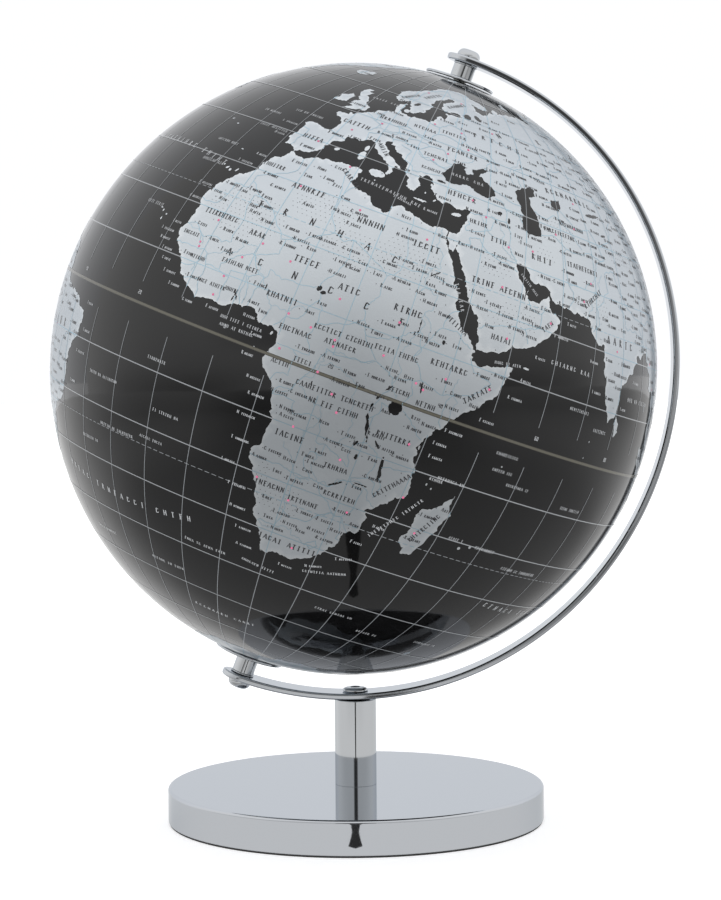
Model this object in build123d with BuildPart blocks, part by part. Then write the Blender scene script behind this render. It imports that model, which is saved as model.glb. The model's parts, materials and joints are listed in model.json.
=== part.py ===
from build123d import *
from math import cos, radians, sin, sqrt
import os

os.makedirs("parts", exist_ok=True)

# Desktop globe on a stand. Millimetres, +Z up. The origin is the centre of the
# base's underside. The meridian arm lies in the XZ plane and curves round the
# ball on the +X side, so the ball's axis leans from -X at the foot to +X at the top.

# ---- driving dimensions -------------------------------------------------------
ball_radius = 125.0          # outside of the printed ball
ball_wall = 2.0              # moulded wall of each hemisphere
ball_height = 187.0          # centre of the ball above the table
tilt = 20.6                  # lean of the axis from vertical, degrees
axial_play = 0.3             # the ball hangs this far below the middle of the arm

base_radius = 78.5
base_height = 14.8
base_sheet = 1.2             # chromed steel of the base shell
base_edge_radius = 1.3
foot_thickness = 0.8         # rubber ring under the base
cover_thickness = 2.4        # fibreboard that closes the underside

post_radius = 8.65
post_wall = 1.5

strip_width = 16.0
strip_thickness = 2.6

disc_radius = 14.5
disc_thickness = 1.2
disc_seat = 126.7            # ball side of each pole disc, from the middle of the arm
spacer_radius = 4.6
spacer_length = 6.0
washer_radius = 4.95
washer_thickness = 0.6
strip_seat = 134.7           # inner face of the strip on the axis, from the middle of the arm

pin_radius = 2.5             # M5 pole screws
pin_length = 25.0
head_radius = 4.75
head_height = 3.2
socket_flats = 3.0

# ---- reference planes and axes ------------------------------------------------
lean = radians(tilt)
axis_dir = Vector(sin(lean), 0, cos(lean))
side_dir = Vector(cos(lean), 0, -sin(lean))
ball_centre = Vector(0, 0, ball_height)
arm_centre = ball_centre + axis_dir * axial_play
pole_axis = Axis(ball_centre, axis_dir)

# Half-section planes: local x runs out from the axis, local y runs along it,
# towards the north pole on one plane and towards the south pole on the other.
north_ball = Plane(origin=ball_centre, x_dir=side_dir, z_dir=(0, -1, 0))
south_ball = Plane(origin=ball_centre, x_dir=side_dir, z_dir=(0, 1, 0))
north_arm = Plane(origin=arm_centre, x_dir=side_dir, z_dir=(0, -1, 0))
south_arm = Plane(origin=arm_centre, x_dir=side_dir, z_dir=(0, 1, 0))

# ---- base ---------------------------------------------------------------------
# Rubber ring that the whole globe stands on.
with BuildPart() as foot_ring:
    with BuildSketch(Plane.XY):
        Circle(base_radius - 0.4)
        Circle(base_radius - 9.0, mode=Mode.SUBTRACT)
    extrude(amount=foot_thickness)

# Drawn and chromed steel shell: flat top, short straight wall, open underneath.
with BuildPart() as base_shell:
    with BuildSketch(Plane.XY.offset(foot_thickness)):
        Circle(base_radius)
    extrude(amount=base_height - foot_thickness)
    fillet(base_shell.edges().group_by(Axis.Z)[-1], radius=base_edge_radius)
    with BuildSketch(Plane.XY.offset(foot_thickness)):
        Circle(base_radius - base_sheet)
    extrude(amount=base_height - foot_thickness - base_sheet, mode=Mode.SUBTRACT)
    with BuildSketch(Plane.XY.offset(base_height - base_sheet)):
        Circle(4.2)
    extrude(amount=base_sheet, mode=Mode.SUBTRACT)

# Fibreboard disc that closes the underside, countersunk for three screws.
cover_top = foot_thickness + cover_thickness
cover_screw_ring = 50.0
with BuildPart() as base_cover:
    with BuildSketch(Plane.XY.offset(foot_thickness)):
        Circle(base_radius - base_sheet - 0.15)
    extrude(amount=cover_thickness)
    with BuildSketch(Plane.XY.offset(foot_thickness)):
        with PolarLocations(cover_screw_ring, 3):
            Circle(3.1)
    extrude(amount=1.6, taper=42.0, mode=Mode.SUBTRACT)
    with BuildSketch(Plane.XY.offset(foot_thickness)):
        with PolarLocations(cover_screw_ring, 3):
            Circle(1.65)
    extrude(amount=cover_thickness, mode=Mode.SUBTRACT)

# Cast-iron ballast: fills the shell, with a pocket underneath for the centre bolt.
ballast_top = base_height - base_sheet
pocket_ceiling = 10.6
with BuildPart() as base_ballast:
    with BuildSketch(Plane.XY.offset(cover_top)):
        Circle(base_radius - base_sheet - 0.3)
    extrude(amount=ballast_top - cover_top)
    fillet(base_ballast.edges().group_by(Axis.Z)[-1], radius=1.0)
    with BuildSketch(Plane.XY.offset(cover_top)):
        Circle(12.0)
    extrude(amount=pocket_ceiling - cover_top, mode=Mode.SUBTRACT)
    with BuildSketch(Plane.XY.offset(cover_top)):
        Circle(4.2)
    extrude(amount=ballast_top - cover_top, mode=Mode.SUBTRACT)
    with BuildSketch(Plane.XY.offset(cover_top)):
        with PolarLocations(cover_screw_ring, 3):
            Circle(1.55)
    extrude(amount=6.5, mode=Mode.SUBTRACT)

# Three countersunk screws that hold the cover to the ballast.
with BuildPart() as cover_screws:
    with BuildSketch(Plane.XY.offset(foot_thickness)):
        with PolarLocations(cover_screw_ring, 3):
            Circle(3.0)
    extrude(amount=1.45, taper=44.0)
    with BuildSketch(Plane.XY.offset(foot_thickness + 1.0)):
        with PolarLocations(cover_screw_ring, 3):
            Circle(1.5)
    extrude(amount=7.0)
    with BuildSketch(Plane.XY.offset(foot_thickness)):
        with PolarLocations(cover_screw_ring, 3):
            Rectangle(3.0, 0.6)
            Rectangle(0.6, 3.0)
    extrude(amount=0.8, mode=Mode.SUBTRACT)

# Plain washer, spring washer and hexagon bolt that pull the post down on the base.
with BuildPart() as base_bolt_washer:
    with BuildSketch(Plane.XY.offset(pocket_ceiling - 1.6)):
        Circle(10.0)
        Circle(4.2, mode=Mode.SUBTRACT)
    extrude(amount=1.6)

with BuildPart() as base_lock_washer:
    with BuildSketch(Plane.XY.offset(pocket_ceiling - 3.6)):
        Circle(7.0)
        Circle(4.1, mode=Mode.SUBTRACT)
        with Locations((5.5, 0)):
            Rectangle(3.4, 0.6, rotation=25, mode=Mode.SUBTRACT)
    extrude(amount=2.0)

bolt_seat = pocket_ceiling - 3.6
with BuildPart() as base_bolt:
    with BuildSketch(Plane.XY.offset(bolt_seat - 3.5)):
        RegularPolygon(radius=6.5, side_count=6, major_radius=False)
    extrude(amount=3.5)
    chamfer(base_bolt.faces().sort_by(Axis.Z)[0].edges(), length=0.4)
    with BuildSketch(Plane.XY.offset(bolt_seat)):
        Circle(4.0)
    extrude(amount=25.0)
    chamfer(base_bolt.faces().sort_by(Axis.Z)[-1].edges(), length=0.6)

# ---- meridian arm -------------------------------------------------------------
# Flat chromed strip, sprung a little out of round: closest to the ball at mid-arm
# and fullest above it. Each station is an angle about the ball's centre (from +X
# towards +Z) and the radius of the strip's inner face there.
pole_angle = 90.0 - tilt
south_seat = strip_seat - axial_play
north_seat = strip_seat + axial_play
tip_overrun = 3.45
strip_stations = [
    (pole_angle - 180.0 - tip_overrun, south_seat - 0.02),
    (pole_angle - 180.0, south_seat),
    (-102.0, south_seat - 0.5),
    (-90.0, 133.3),
    (-78.0, 132.8),
    (-64.0, 132.0),
    (-48.0, 131.2),
    (-27.0, 130.8),
    (-7.0, 131.4),
    (13.0, 133.0),
    (33.0, 134.7),
    (52.0, 135.4),
    (pole_angle, north_seat),
    (pole_angle + tip_overrun, north_seat - 0.05),
]
inner_points = [(r * cos(radians(a)), r * sin(radians(a))) for a, r in strip_stations]
outer_points = [
    ((r + strip_thickness) * cos(radians(a)), (r + strip_thickness) * sin(radians(a)))
    for a, r in strip_stations
]
arm_plane = Plane(origin=ball_centre, x_dir=(1, 0, 0), z_dir=(0, -1, 0))

with BuildPart() as meridian_arm:
    with BuildSketch(arm_plane):
        with BuildLine():
            Spline(*inner_points)
            Spline(*outer_points)
            Line(inner_points[0], outer_points[0])
            Line(inner_points[-1], outer_points[-1])
        make_face()
    extrude(amount=strip_width / 2, both=True)
    # Both ends are rounded off to a half circle in plan.
    end_edges = meridian_arm.edges().filter_by(
        lambda e: abs(e.length - strip_thickness) < 0.05 and abs(abs(e.center().Y) - strip_width / 2) < 0.01
    )
    fillet(end_edges, radius=strip_width / 2 - 0.05)
    # Holes for the two pole screws and for the screw into the post.
    with BuildSketch(Plane(origin=ball_centre, x_dir=side_dir, z_dir=axis_dir)):
        Circle(pin_radius + 0.15)
    extrude(amount=150.0, both=True, mode=Mode.SUBTRACT)
    with BuildSketch(Plane.XY):
        Circle(3.15)
    extrude(amount=60.0, mode=Mode.SUBTRACT)

strip_underside = ball_height - 133.3 - strip_thickness
strip_upper = strip_underside + strip_thickness

# ---- post ---------------------------------------------------------------------
post_top = strip_underside - 0.45
with BuildPart() as post_tube:
    with BuildSketch(Plane.XY.offset(base_height)):
        Circle(post_radius)
        Circle(post_radius - post_wall, mode=Mode.SUBTRACT)
    extrude(amount=post_top - base_height)
    chamfer(post_tube.edges().group_by(Axis.Z)[-1].sort_by(SortBy.LENGTH)[-1], length=0.25)

# Threaded plug at the foot of the tube, for the base bolt.
with BuildPart() as post_foot_insert:
    with BuildSketch(Plane.XY.offset(base_height)):
        Circle(post_radius - post_wall - 0.02)
        Circle(4.03, mode=Mode.SUBTRACT)
    extrude(amount=16.0)

# Threaded plug at the top of the tube, with a small boss that the strip sits on.
with BuildPart() as post_top_insert:
    with BuildSketch(Plane.XY.offset(post_top - 14.0)):
        Circle(post_radius - post_wall - 0.02)
    extrude(amount=14.0)
    with BuildSketch(Plane.XY.offset(post_top)):
        Circle(4.9)
    extrude(amount=0.3)
    with BuildSketch(Plane.XY.offset(post_top - 14.0)):
        Circle(3.03)
    extrude(amount=15.0, mode=Mode.SUBTRACT)

# Low-headed socket screw that clamps the strip to the post.
arm_head_seat = strip_upper + 0.25
with BuildPart() as arm_screw:
    with BuildSketch(Plane.XY.offset(arm_head_seat)):
        Circle(5.3)
    extrude(amount=1.6)
    fillet(arm_screw.faces().sort_by(Axis.Z)[-1].edges(), radius=1.2)
    with BuildSketch(Plane.XY.offset(arm_head_seat - 14.0)):
        Circle(3.0)
    extrude(amount=14.0)
    with BuildSketch(Plane.XY.offset(arm_head_seat + 1.6)):
        RegularPolygon(radius=1.9, side_count=6, major_radius=False)
    extrude(amount=-1.5, mode=Mode.SUBTRACT)

# ---- ball ---------------------------------------------------------------------
# Two moulded hemispheres meet at the equator. A small chamfer on each rim leaves
# the fine groove of the seam. The wall is pierced at the pole for the bush.
pole_hole = 4.05
seam = 0.15
inner_radius = ball_radius - ball_wall
rim_angle = 0.07
with BuildSketch(Plane.XY) as hemisphere_section:
    with BuildLine():
        outer_rim = (ball_radius * cos(radians(rim_angle)), ball_radius * sin(radians(rim_angle)))
        outer_pole = (pole_hole, sqrt(ball_radius**2 - pole_hole**2))
        inner_pole = (pole_hole, sqrt(inner_radius**2 - pole_hole**2))
        diagonal = sin(radians(45.0))
        ThreePointArc(outer_rim, (ball_radius * diagonal, ball_radius * diagonal), outer_pole)
        Line(outer_pole, inner_pole)
        ThreePointArc(inner_pole, (inner_radius * diagonal, inner_radius * diagonal), (inner_radius, 0))
        Line((inner_radius, 0), (ball_radius - seam, 0))
        Line((ball_radius - seam, 0), outer_rim)
    make_face()

with BuildPart() as north_hemisphere:
    with BuildSketch(north_ball):
        add(hemisphere_section.sketch)
    revolve(axis=pole_axis)

with BuildPart() as south_hemisphere:
    with BuildSketch(south_ball):
        add(hemisphere_section.sketch)
    revolve(axis=pole_axis)

# Ring glued across the seam on the inside, which lines the two rims up.
with BuildPart() as joint_ring:
    with BuildSketch(north_ball):
        with BuildLine():
            half_band = 7.0
            wall_x = sqrt(inner_radius**2 - half_band**2) - 0.03
            Line((wall_x, -half_band), (wall_x - 1.6, -half_band))
            Line((wall_x - 1.6, -half_band), (wall_x - 1.6, half_band))
            Line((wall_x - 1.6, half_band), (wall_x, half_band))
            ThreePointArc((wall_x, half_band), (inner_radius - 0.03, 0), (wall_x, -half_band))
        make_face()
    revolve(axis=pole_axis)

# Nylon bush at each pole: a flange inside the wall and a boss that stands proud of
# it. The ball turns on these bushes round the fixed pole screws.
bush_flange = 10.0
bush_seat = sqrt(inner_radius**2 - bush_flange**2) - 0.02
bush_tip = 126.1
bush_bore = pin_radius + 0.06
with BuildSketch(Plane.XY) as bush_section:
    with BuildLine():
        Polyline(
            (bush_bore, bush_seat - 2.3),
            (bush_flange, bush_seat - 2.3),
            (bush_flange, bush_seat),
            (pole_hole - 0.05, bush_seat),
            (pole_hole - 0.05, bush_tip),
            (bush_bore, bush_tip),
            close=True,
        )
    make_face()

with BuildPart() as north_bush:
    with BuildSketch(north_ball):
        add(bush_section.sketch)
    revolve(axis=pole_axis)

with BuildPart() as south_bush:
    with BuildSketch(south_ball):
        add(bush_section.sketch)
    revolve(axis=pole_axis)

# ---- pole hardware, carried by the arm ------------------------------------------
clear_bore = pin_radius + 0.1

# Chromed cover disc over each pole, with a rounded rim.
with BuildSketch(Plane.XY) as disc_section:
    with Locations(((clear_bore + disc_radius) / 2, disc_seat + disc_thickness / 2)):
        Rectangle(disc_radius - clear_bore, disc_thickness)
    fillet(disc_section.vertices().group_by(Axis.X)[-1], radius=0.5)

with BuildPart() as north_pole_disc:
    with BuildSketch(north_arm):
        add(disc_section.sketch)
    revolve(axis=pole_axis)

with BuildPart() as south_pole_disc:
    with BuildSketch(south_arm):
        add(disc_section.sketch)
    revolve(axis=pole_axis)

# Plain turned sleeve between disc and strip.
spacer_start = disc_seat + disc_thickness
with BuildSketch(Plane.XY) as spacer_section:
    with Locations(((clear_bore + spacer_radius) / 2, spacer_start + spacer_length / 2)):
        Rectangle(spacer_radius - clear_bore, spacer_length)
    chamfer(spacer_section.vertices().group_by(Axis.X)[-1], length=0.2)

with BuildPart() as north_spacer:
    with BuildSketch(north_arm):
        add(spacer_section.sketch)
    revolve(axis=pole_axis)

with BuildPart() as south_spacer:
    with BuildSketch(south_arm):
        add(spacer_section.sketch)
    revolve(axis=pole_axis)

# Thin washer under the strip, a little wider than the sleeve.
washer_start = spacer_start + spacer_length
with BuildSketch(Plane.XY) as washer_section:
    with Locations(((clear_bore + washer_radius) / 2, washer_start + washer_thickness / 2)):
        Rectangle(washer_radius - clear_bore, washer_thickness)

with BuildPart() as north_washer:
    with BuildSketch(north_arm):
        add(washer_section.sketch)
    revolve(axis=pole_axis)

with BuildPart() as south_washer:
    with BuildSketch(south_arm):
        add(washer_section.sketch)
    revolve(axis=pole_axis)

# Button-head socket screws: the head sits outside the strip and the shank runs
# through washer, sleeve, disc and bush into the ball.
head_seat = strip_seat + strip_thickness + 0.1
with BuildSketch(Plane.XY) as screw_section:
    with BuildLine():
        Line((0, head_seat - pin_length), (pin_radius - 0.4, head_seat - pin_length))
        Line((pin_radius - 0.4, head_seat - pin_length), (pin_radius, head_seat - pin_length + 0.4))
        Line((pin_radius, head_seat - pin_length + 0.4), (pin_radius, head_seat))
        Line((pin_radius, head_seat), (head_radius, head_seat))
        Line((head_radius, head_seat), (head_radius, head_seat + 0.5))
        ThreePointArc(
            (head_radius, head_seat + 0.5),
            (head_radius * 0.83, head_seat + head_height * 0.66),
            (head_radius * 0.46, head_seat + head_height),
        )
        Line((head_radius * 0.46, head_seat + head_height), (0, head_seat + head_height))
        Line((0, head_seat + head_height), (0, head_seat - pin_length))
    make_face()

north_head = Plane(origin=arm_centre + axis_dir * (head_seat + head_height), x_dir=side_dir, z_dir=axis_dir)
south_head = Plane(origin=arm_centre - axis_dir * (head_seat + head_height), x_dir=side_dir, z_dir=-axis_dir)
with BuildPart() as pole_screws:
    with BuildSketch(north_arm):
        add(screw_section.sketch)
    revolve(axis=pole_axis)
    with BuildSketch(south_arm):
        add(screw_section.sketch)
    revolve(axis=pole_axis)
    with BuildSketch(north_head, south_head):
        RegularPolygon(radius=socket_flats / 2, side_count=6, major_radius=False)
    extrude(amount=-2.2, mode=Mode.SUBTRACT)

# Steel washer and lock nut on the inner end of each pole screw.
nut_face = 119.4
with BuildPart() as nut_washers:
    with BuildSketch(north_arm, south_arm):
        with Locations(((clear_bore + 6.0) / 2, nut_face - 0.5)):
            Rectangle(6.0 - clear_bore, 1.0)
    revolve(axis=pole_axis)

north_nut = Plane(origin=arm_centre + axis_dir * (nut_face - 1.0), x_dir=side_dir, z_dir=-axis_dir)
south_nut = Plane(origin=arm_centre - axis_dir * (nut_face - 1.0), x_dir=side_dir, z_dir=axis_dir)
with BuildPart() as pole_nuts:
    with BuildSketch(north_nut, south_nut):
        RegularPolygon(radius=4.0, side_count=6, major_radius=False)
        Circle(pin_radius + 0.02, mode=Mode.SUBTRACT)
    extrude(amount=4.0)

# ---- labels and export --------------------------------------------------------
foot_ring.part.label = "foot_ring"
export_step(foot_ring.part, "parts/foot_ring.step")
base_shell.part.label = "base_shell"
export_step(base_shell.part, "parts/base_shell.step")
base_cover.part.label = "base_cover"
export_step(base_cover.part, "parts/base_cover.step")
base_ballast.part.label = "base_ballast"
export_step(base_ballast.part, "parts/base_ballast.step")
cover_screws.part.label = "cover_screws"
export_step(cover_screws.part, "parts/cover_screws.step")
base_bolt_washer.part.label = "base_bolt_washer"
export_step(base_bolt_washer.part, "parts/base_bolt_washer.step")
base_lock_washer.part.label = "base_lock_washer"
export_step(base_lock_washer.part, "parts/base_lock_washer.step")
base_bolt.part.label = "base_bolt"
export_step(base_bolt.part, "parts/base_bolt.step")
meridian_arm.part.label = "meridian_arm"
export_step(meridian_arm.part, "parts/meridian_arm.step")
post_tube.part.label = "post_tube"
export_step(post_tube.part, "parts/post_tube.step")
post_foot_insert.part.label = "post_foot_insert"
export_step(post_foot_insert.part, "parts/post_foot_insert.step")
post_top_insert.part.label = "post_top_insert"
export_step(post_top_insert.part, "parts/post_top_insert.step")
arm_screw.part.label = "arm_screw"
export_step(arm_screw.part, "parts/arm_screw.step")
north_hemisphere.part.label = "north_hemisphere"
export_step(north_hemisphere.part, "parts/north_hemisphere.step")
south_hemisphere.part.label = "south_hemisphere"
export_step(south_hemisphere.part, "parts/south_hemisphere.step")
joint_ring.part.label = "joint_ring"
export_step(joint_ring.part, "parts/joint_ring.step")
north_bush.part.label = "north_bush"
export_step(north_bush.part, "parts/north_bush.step")
south_bush.part.label = "south_bush"
export_step(south_bush.part, "parts/south_bush.step")
north_pole_disc.part.label = "north_pole_disc"
export_step(north_pole_disc.part, "parts/north_pole_disc.step")
south_pole_disc.part.label = "south_pole_disc"
export_step(south_pole_disc.part, "parts/south_pole_disc.step")
north_spacer.part.label = "north_spacer"
export_step(north_spacer.part, "parts/north_spacer.step")
south_spacer.part.label = "south_spacer"
export_step(south_spacer.part, "parts/south_spacer.step")
north_washer.part.label = "north_washer"
export_step(north_washer.part, "parts/north_washer.step")
south_washer.part.label = "south_washer"
export_step(south_washer.part, "parts/south_washer.step")
pole_screws.part.label = "pole_screws"
export_step(pole_screws.part, "parts/pole_screws.step")
nut_washers.part.label = "nut_washers"
export_step(nut_washers.part, "parts/nut_washers.step")
pole_nuts.part.label = "pole_nuts"
export_step(pole_nuts.part, "parts/pole_nuts.step")
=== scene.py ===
import json
import math

import bmesh
import bpy
import numpy as np
from mathutils import Matrix, Vector, geometry


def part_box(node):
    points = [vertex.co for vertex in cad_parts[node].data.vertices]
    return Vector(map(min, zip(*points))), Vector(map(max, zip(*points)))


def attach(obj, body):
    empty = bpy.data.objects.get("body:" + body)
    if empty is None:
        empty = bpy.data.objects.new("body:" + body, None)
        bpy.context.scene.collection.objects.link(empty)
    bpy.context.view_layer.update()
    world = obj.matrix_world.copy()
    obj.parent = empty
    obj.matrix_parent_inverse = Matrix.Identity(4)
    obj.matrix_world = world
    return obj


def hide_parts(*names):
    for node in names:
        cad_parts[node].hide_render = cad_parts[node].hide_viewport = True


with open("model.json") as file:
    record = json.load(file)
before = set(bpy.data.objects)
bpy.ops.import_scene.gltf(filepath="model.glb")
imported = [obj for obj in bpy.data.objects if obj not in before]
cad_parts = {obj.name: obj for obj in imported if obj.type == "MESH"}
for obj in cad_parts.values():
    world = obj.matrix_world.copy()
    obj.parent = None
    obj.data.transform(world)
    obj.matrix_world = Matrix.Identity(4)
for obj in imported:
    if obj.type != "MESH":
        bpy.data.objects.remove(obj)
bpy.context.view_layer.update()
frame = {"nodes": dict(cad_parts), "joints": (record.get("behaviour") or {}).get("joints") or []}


# ---- The foot ring: a flat ring of black rubber, die cut and glued under the rim of the base.
# It is the lowest piece and everything above stands on it.
MM = 0.001
foot_inner = 69.5
foot_outer = 78.1


class Value:
    """A value in a material's node tree. Sums written with it add the Math nodes that work them out."""

    def __init__(self, tree, socket):
        self.tree, self.socket = tree, socket

    def node(self, kind, settings=None, inputs=None, output=0):
        """Adds a node: its settings first, then the values or links of its sockets."""
        new = self.tree.nodes.new(kind)
        for name, setting in (settings or {}).items():
            if name == "stops":
                ramp = new.color_ramp
                while len(ramp.elements) < len(setting):
                    ramp.elements.new(0.5)
                for element, (place, colour) in zip(ramp.elements, setting):
                    element.position, element.color = place, (*colour, 1)
            else:
                setattr(new, name, setting)
        for name, value in (inputs or {}).items():
            if isinstance(value, Value):
                self.tree.links.new(value.socket, new.inputs[name])
            else:
                new.inputs[name].default_value = value
        return None if output is None else Value(self.tree, new.outputs[output])

    def math(self, operation, first, second):
        return self.node("ShaderNodeMath", {"operation": operation}, {0: first, 1: second})

    def __add__(self, other):
        return self.math("ADD", self, other)

    def __radd__(self, other):
        return self.math("ADD", other, self)

    def __sub__(self, other):
        return self.math("SUBTRACT", self, other)

    def __rsub__(self, other):
        return self.math("SUBTRACT", other, self)

    def __mul__(self, other):
        return self.math("MULTIPLY", self, other)

    def __rmul__(self, other):
        return self.math("MULTIPLY", other, self)

    def __gt__(self, other):
        return self.math("GREATER_THAN", self, other)

    def noise(self, scale, detail=2.0, roughness=0.5):
        """Cloudy noise from 0 to 1 at this place, with scale in cells per metre."""
        sockets = {"Vector": self, "Scale": scale, "Detail": detail, "Roughness": roughness}
        return self.node("ShaderNodeTexNoise", {}, sockets)

    def specks(self, scale, size):
        """1 inside small round specks, about scale of them per metre each way, and 0 elsewhere."""
        distance = self.node("ShaderNodeTexVoronoi", {}, {"Vector": self, "Scale": scale})
        return 1 - (distance > size)

    def between(self, first, second):
        """The colour that lies this far from the first colour to the second."""
        sockets = {0: self, 6: first, 7: second}
        return self.node("ShaderNodeMix", {"data_type": "RGBA"}, sockets, output=2)

    def bump(self, distance, strength=1.0):
        """A normal that follows this height, where a height of 1 stands the distance in metres."""
        return self.node("ShaderNodeBump", {}, {"Height": self, "Distance": distance, "Strength": strength})


def new_finish(name, **constants):
    """A material with its fixed settings made, its shader node, and the place of each surface point."""
    finish = bpy.data.materials.new(name)
    finish.use_nodes = True
    tree = finish.node_tree
    shader = tree.nodes["Principled BSDF"]
    for socket, value in constants.items():
        shader.inputs[socket.replace("_", " ")].default_value = value
    return finish, shader, Value(tree, tree.nodes.new("ShaderNodeTexCoord").outputs["Object"])


def wire(shader, **links):
    """Links worked-out values to the shader's sockets."""
    for socket, value in links.items():
        value.tree.links.new(value.socket, shader.inputs[socket.replace("_", " ")])


def rounded(corners, radii, steps=6):
    """The outline through these corners with each one turned into an arc that touches both of its sides:
    the arc leaves the side radius / tan(half the corner's angle) before the corner, and its centre lies
    on the corner's bisector. One more point on each side keeps the flats beside the arc flat."""
    corners, radii = np.array(corners, float), np.array(radii, float)[:, None]
    back = np.roll(corners, 1, axis=0) - corners
    ahead = np.roll(corners, -1, axis=0) - corners
    back /= np.linalg.norm(back, axis=1, keepdims=True)
    ahead /= np.linalg.norm(ahead, axis=1, keepdims=True)
    half = np.arccos(np.clip(np.sum(back * ahead, axis=1, keepdims=True), -1, 0.9999)) / 2
    leave = radii / np.tan(half)
    middle = back + ahead
    middle /= np.maximum(np.linalg.norm(middle, axis=1, keepdims=True), 1e-9)
    centre = corners + middle * radii / np.sin(half)
    first, last = corners + back * leave - centre, corners + ahead * leave - centre
    turn = np.maximum(math.pi - 2 * half, 1e-6)[:, None]
    share = np.linspace(0, 1, steps + 1)[None, :, None]
    arc = np.sin((1 - share) * turn) * first[:, None] + np.sin(share * turn) * last[:, None]
    arc = centre[:, None] + arc / np.sin(turn)
    before = (corners + back * leave * 1.3)[:, None]
    after = (corners + ahead * leave * 1.3)[:, None]
    points = np.concatenate([before, arc, after], axis=1).reshape(-1, 2)
    return points[np.linalg.norm(points - np.roll(points, 1, axis=0), axis=1) > 1e-6]


def mesh_piece(name, points, faces, sharp=35.0):
    """A mesh from points and arrays of corner numbers, one array for each number of corners a face has.
    It is shaded smooth except where two faces meet at more than the sharp angle in degrees."""
    kept, numbers = np.unique(np.concatenate([f.ravel() for f in faces]), return_inverse=True)
    starts, at = [], 0
    for group in faces:
        starts.append(at + np.arange(len(group)) * group.shape[1])
        at += group.size
    mesh = bpy.data.meshes.new(name)
    mesh.vertices.add(len(kept))
    mesh.vertices.foreach_set("co", np.asarray(points, float).reshape(-1, 3)[kept].ravel())
    mesh.loops.add(at)
    mesh.loops.foreach_set("vertex_index", numbers.astype(np.int32).ravel())
    mesh.polygons.add(sum(len(group) for group in faces))
    mesh.polygons.foreach_set("loop_start", np.concatenate(starts).astype(np.int32))
    mesh.update(calc_edges=True)
    mesh.validate()
    mesh.shade_smooth()
    if sharp:
        mesh.set_sharp_from_angle(angle=math.radians(sharp))
    piece = bpy.data.objects.new(name, mesh)
    bpy.context.scene.collection.objects.link(piece)
    return piece


def upright(points):
    """Points as they are: x and y across, z up the object's own axis."""
    return points


def turned(name, outline, place=upright, segments=160):
    """A surface of revolution. Point (i, j) stands at the outline's radius i, turned j equal steps about
    the axis, at the outline's height i. Outlines are in millimetres, as (radius, height)."""
    outline = np.array(outline, float) * MM
    radius, height = outline.T
    if np.sum(radius * np.roll(height, -1) - np.roll(radius, -1) * height) < 0:
        outline = outline[::-1]
        radius, height = outline.T
    turn = np.linspace(0, 2 * math.pi, segments, endpoint=False)
    circle = np.stack([np.cos(turn), np.sin(turn), 0 * turn], axis=-1)
    points = radius[:, None, None] * circle + height[:, None, None] * np.array([0, 0, 1.0])
    number = np.arange(len(outline) * segments).reshape(len(outline), segments)
    number[radius < 1e-9] = number[radius < 1e-9][:, :1]
    above = np.roll(number, -1, axis=0)
    quads = np.stack([number, np.roll(number, -1, axis=1), np.roll(above, -1, axis=1), above], axis=-1)
    on_axis, next_on_axis = radius < 1e-9, np.roll(radius, -1) < 1e-9
    faces = [quads[~on_axis & ~next_on_axis].reshape(-1, 4)]
    faces.append(quads[on_axis & ~next_on_axis][..., [0, 2, 3]].reshape(-1, 3))
    faces.append(quads[~on_axis & next_on_axis][..., [0, 1, 2]].reshape(-1, 3))
    return mesh_piece(name, place(points), [f for f in faces if len(f)])


def fit(piece, finish, body, slot, *nodes):
    """Gives a piece its finish, rides it on its body, and lets it stand for its CAD nodes; its slot is not
    used.
    """
    piece.data.materials.append(finish)
    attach(piece, body)
    if nodes:
        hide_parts(*nodes)


def refinish(finish, *nodes):
    """Gives CAD nodes a finish and leaves their shape alone."""
    for node in nodes:
        for used in frame["nodes"][node].material_slots:
            used.material = finish


rubber, shader, place = new_finish("black_rubber", Specular_IOR_Level=0.35)
wire(shader, Base_Color=place.noise(260, 3).between((0.010, 0.010, 0.010, 1), (0.026, 0.025, 0.024, 1)),
     Roughness=0.62 + 0.2 * place.noise(900, 2), Normal=place.noise(2600, 2).bump(0.00004))

foot_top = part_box("foot_ring")[1].z / MM
foot_ring = turned("foot_ring_moulded", rounded(
    [(foot_inner, 0), (foot_outer, 0), (foot_outer, foot_top), (foot_inner, foot_top)],
    [0.2, 0.25, 0, 0]), segments=200)
fit(foot_ring, rubber, "stand", "foot_rubber", "foot_ring")


# ---- The base: a shallow pan spun from 1.2 mm steel sheet, polished and chrome plated. A disc of
# pressed board closes it underneath, held by three screws, and a bolt and iron disc lie inside.
base_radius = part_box("base_shell")[1].x / MM
base_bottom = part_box("base_shell")[0].z / MM
base_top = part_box("base_shell")[1].z / MM
base_sheet = 1.2
base_edge = 1.3
bolt_hole = 4.3


def chrome_finish(name, tint, ripple):
    """Bright chrome: a mirror with the faint clouds and hair lines that polishing leaves, and a slow
    ripple of the sheet under it."""
    finish, shader, place = new_finish(name, Base_Color=(*tint, 1), Metallic=1.0,
                                       Specular_Tint=(0.76, 0.78, 0.80, 1))
    hairs = place.node("ShaderNodeMapping", {}, {"Vector": place, "Scale": (60, 60, 900)}).noise(8, 3)
    wire(shader, Roughness=0.025 + 0.035 * place.noise(45, 3) + 0.02 * hairs,
         Normal=place.noise(ripple, 1).bump(0.00002))
    return finish


sheet_chrome = chrome_finish("chrome_on_sheet", (0.555, 0.575, 0.605), 38)
base_shell = turned("base_pan", rounded(
    [(bolt_hole, base_top), (bolt_hole, base_top - base_sheet),
     (base_radius - base_sheet, base_top - base_sheet), (base_radius - base_sheet, base_bottom),
     (base_radius, base_bottom), (base_radius, base_top)],
    [0, 0, base_edge - 0.6, 0.2, 0.25, base_edge], steps=10), segments=320)
fit(base_shell, sheet_chrome, "stand", "chrome", "base_shell")

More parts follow.
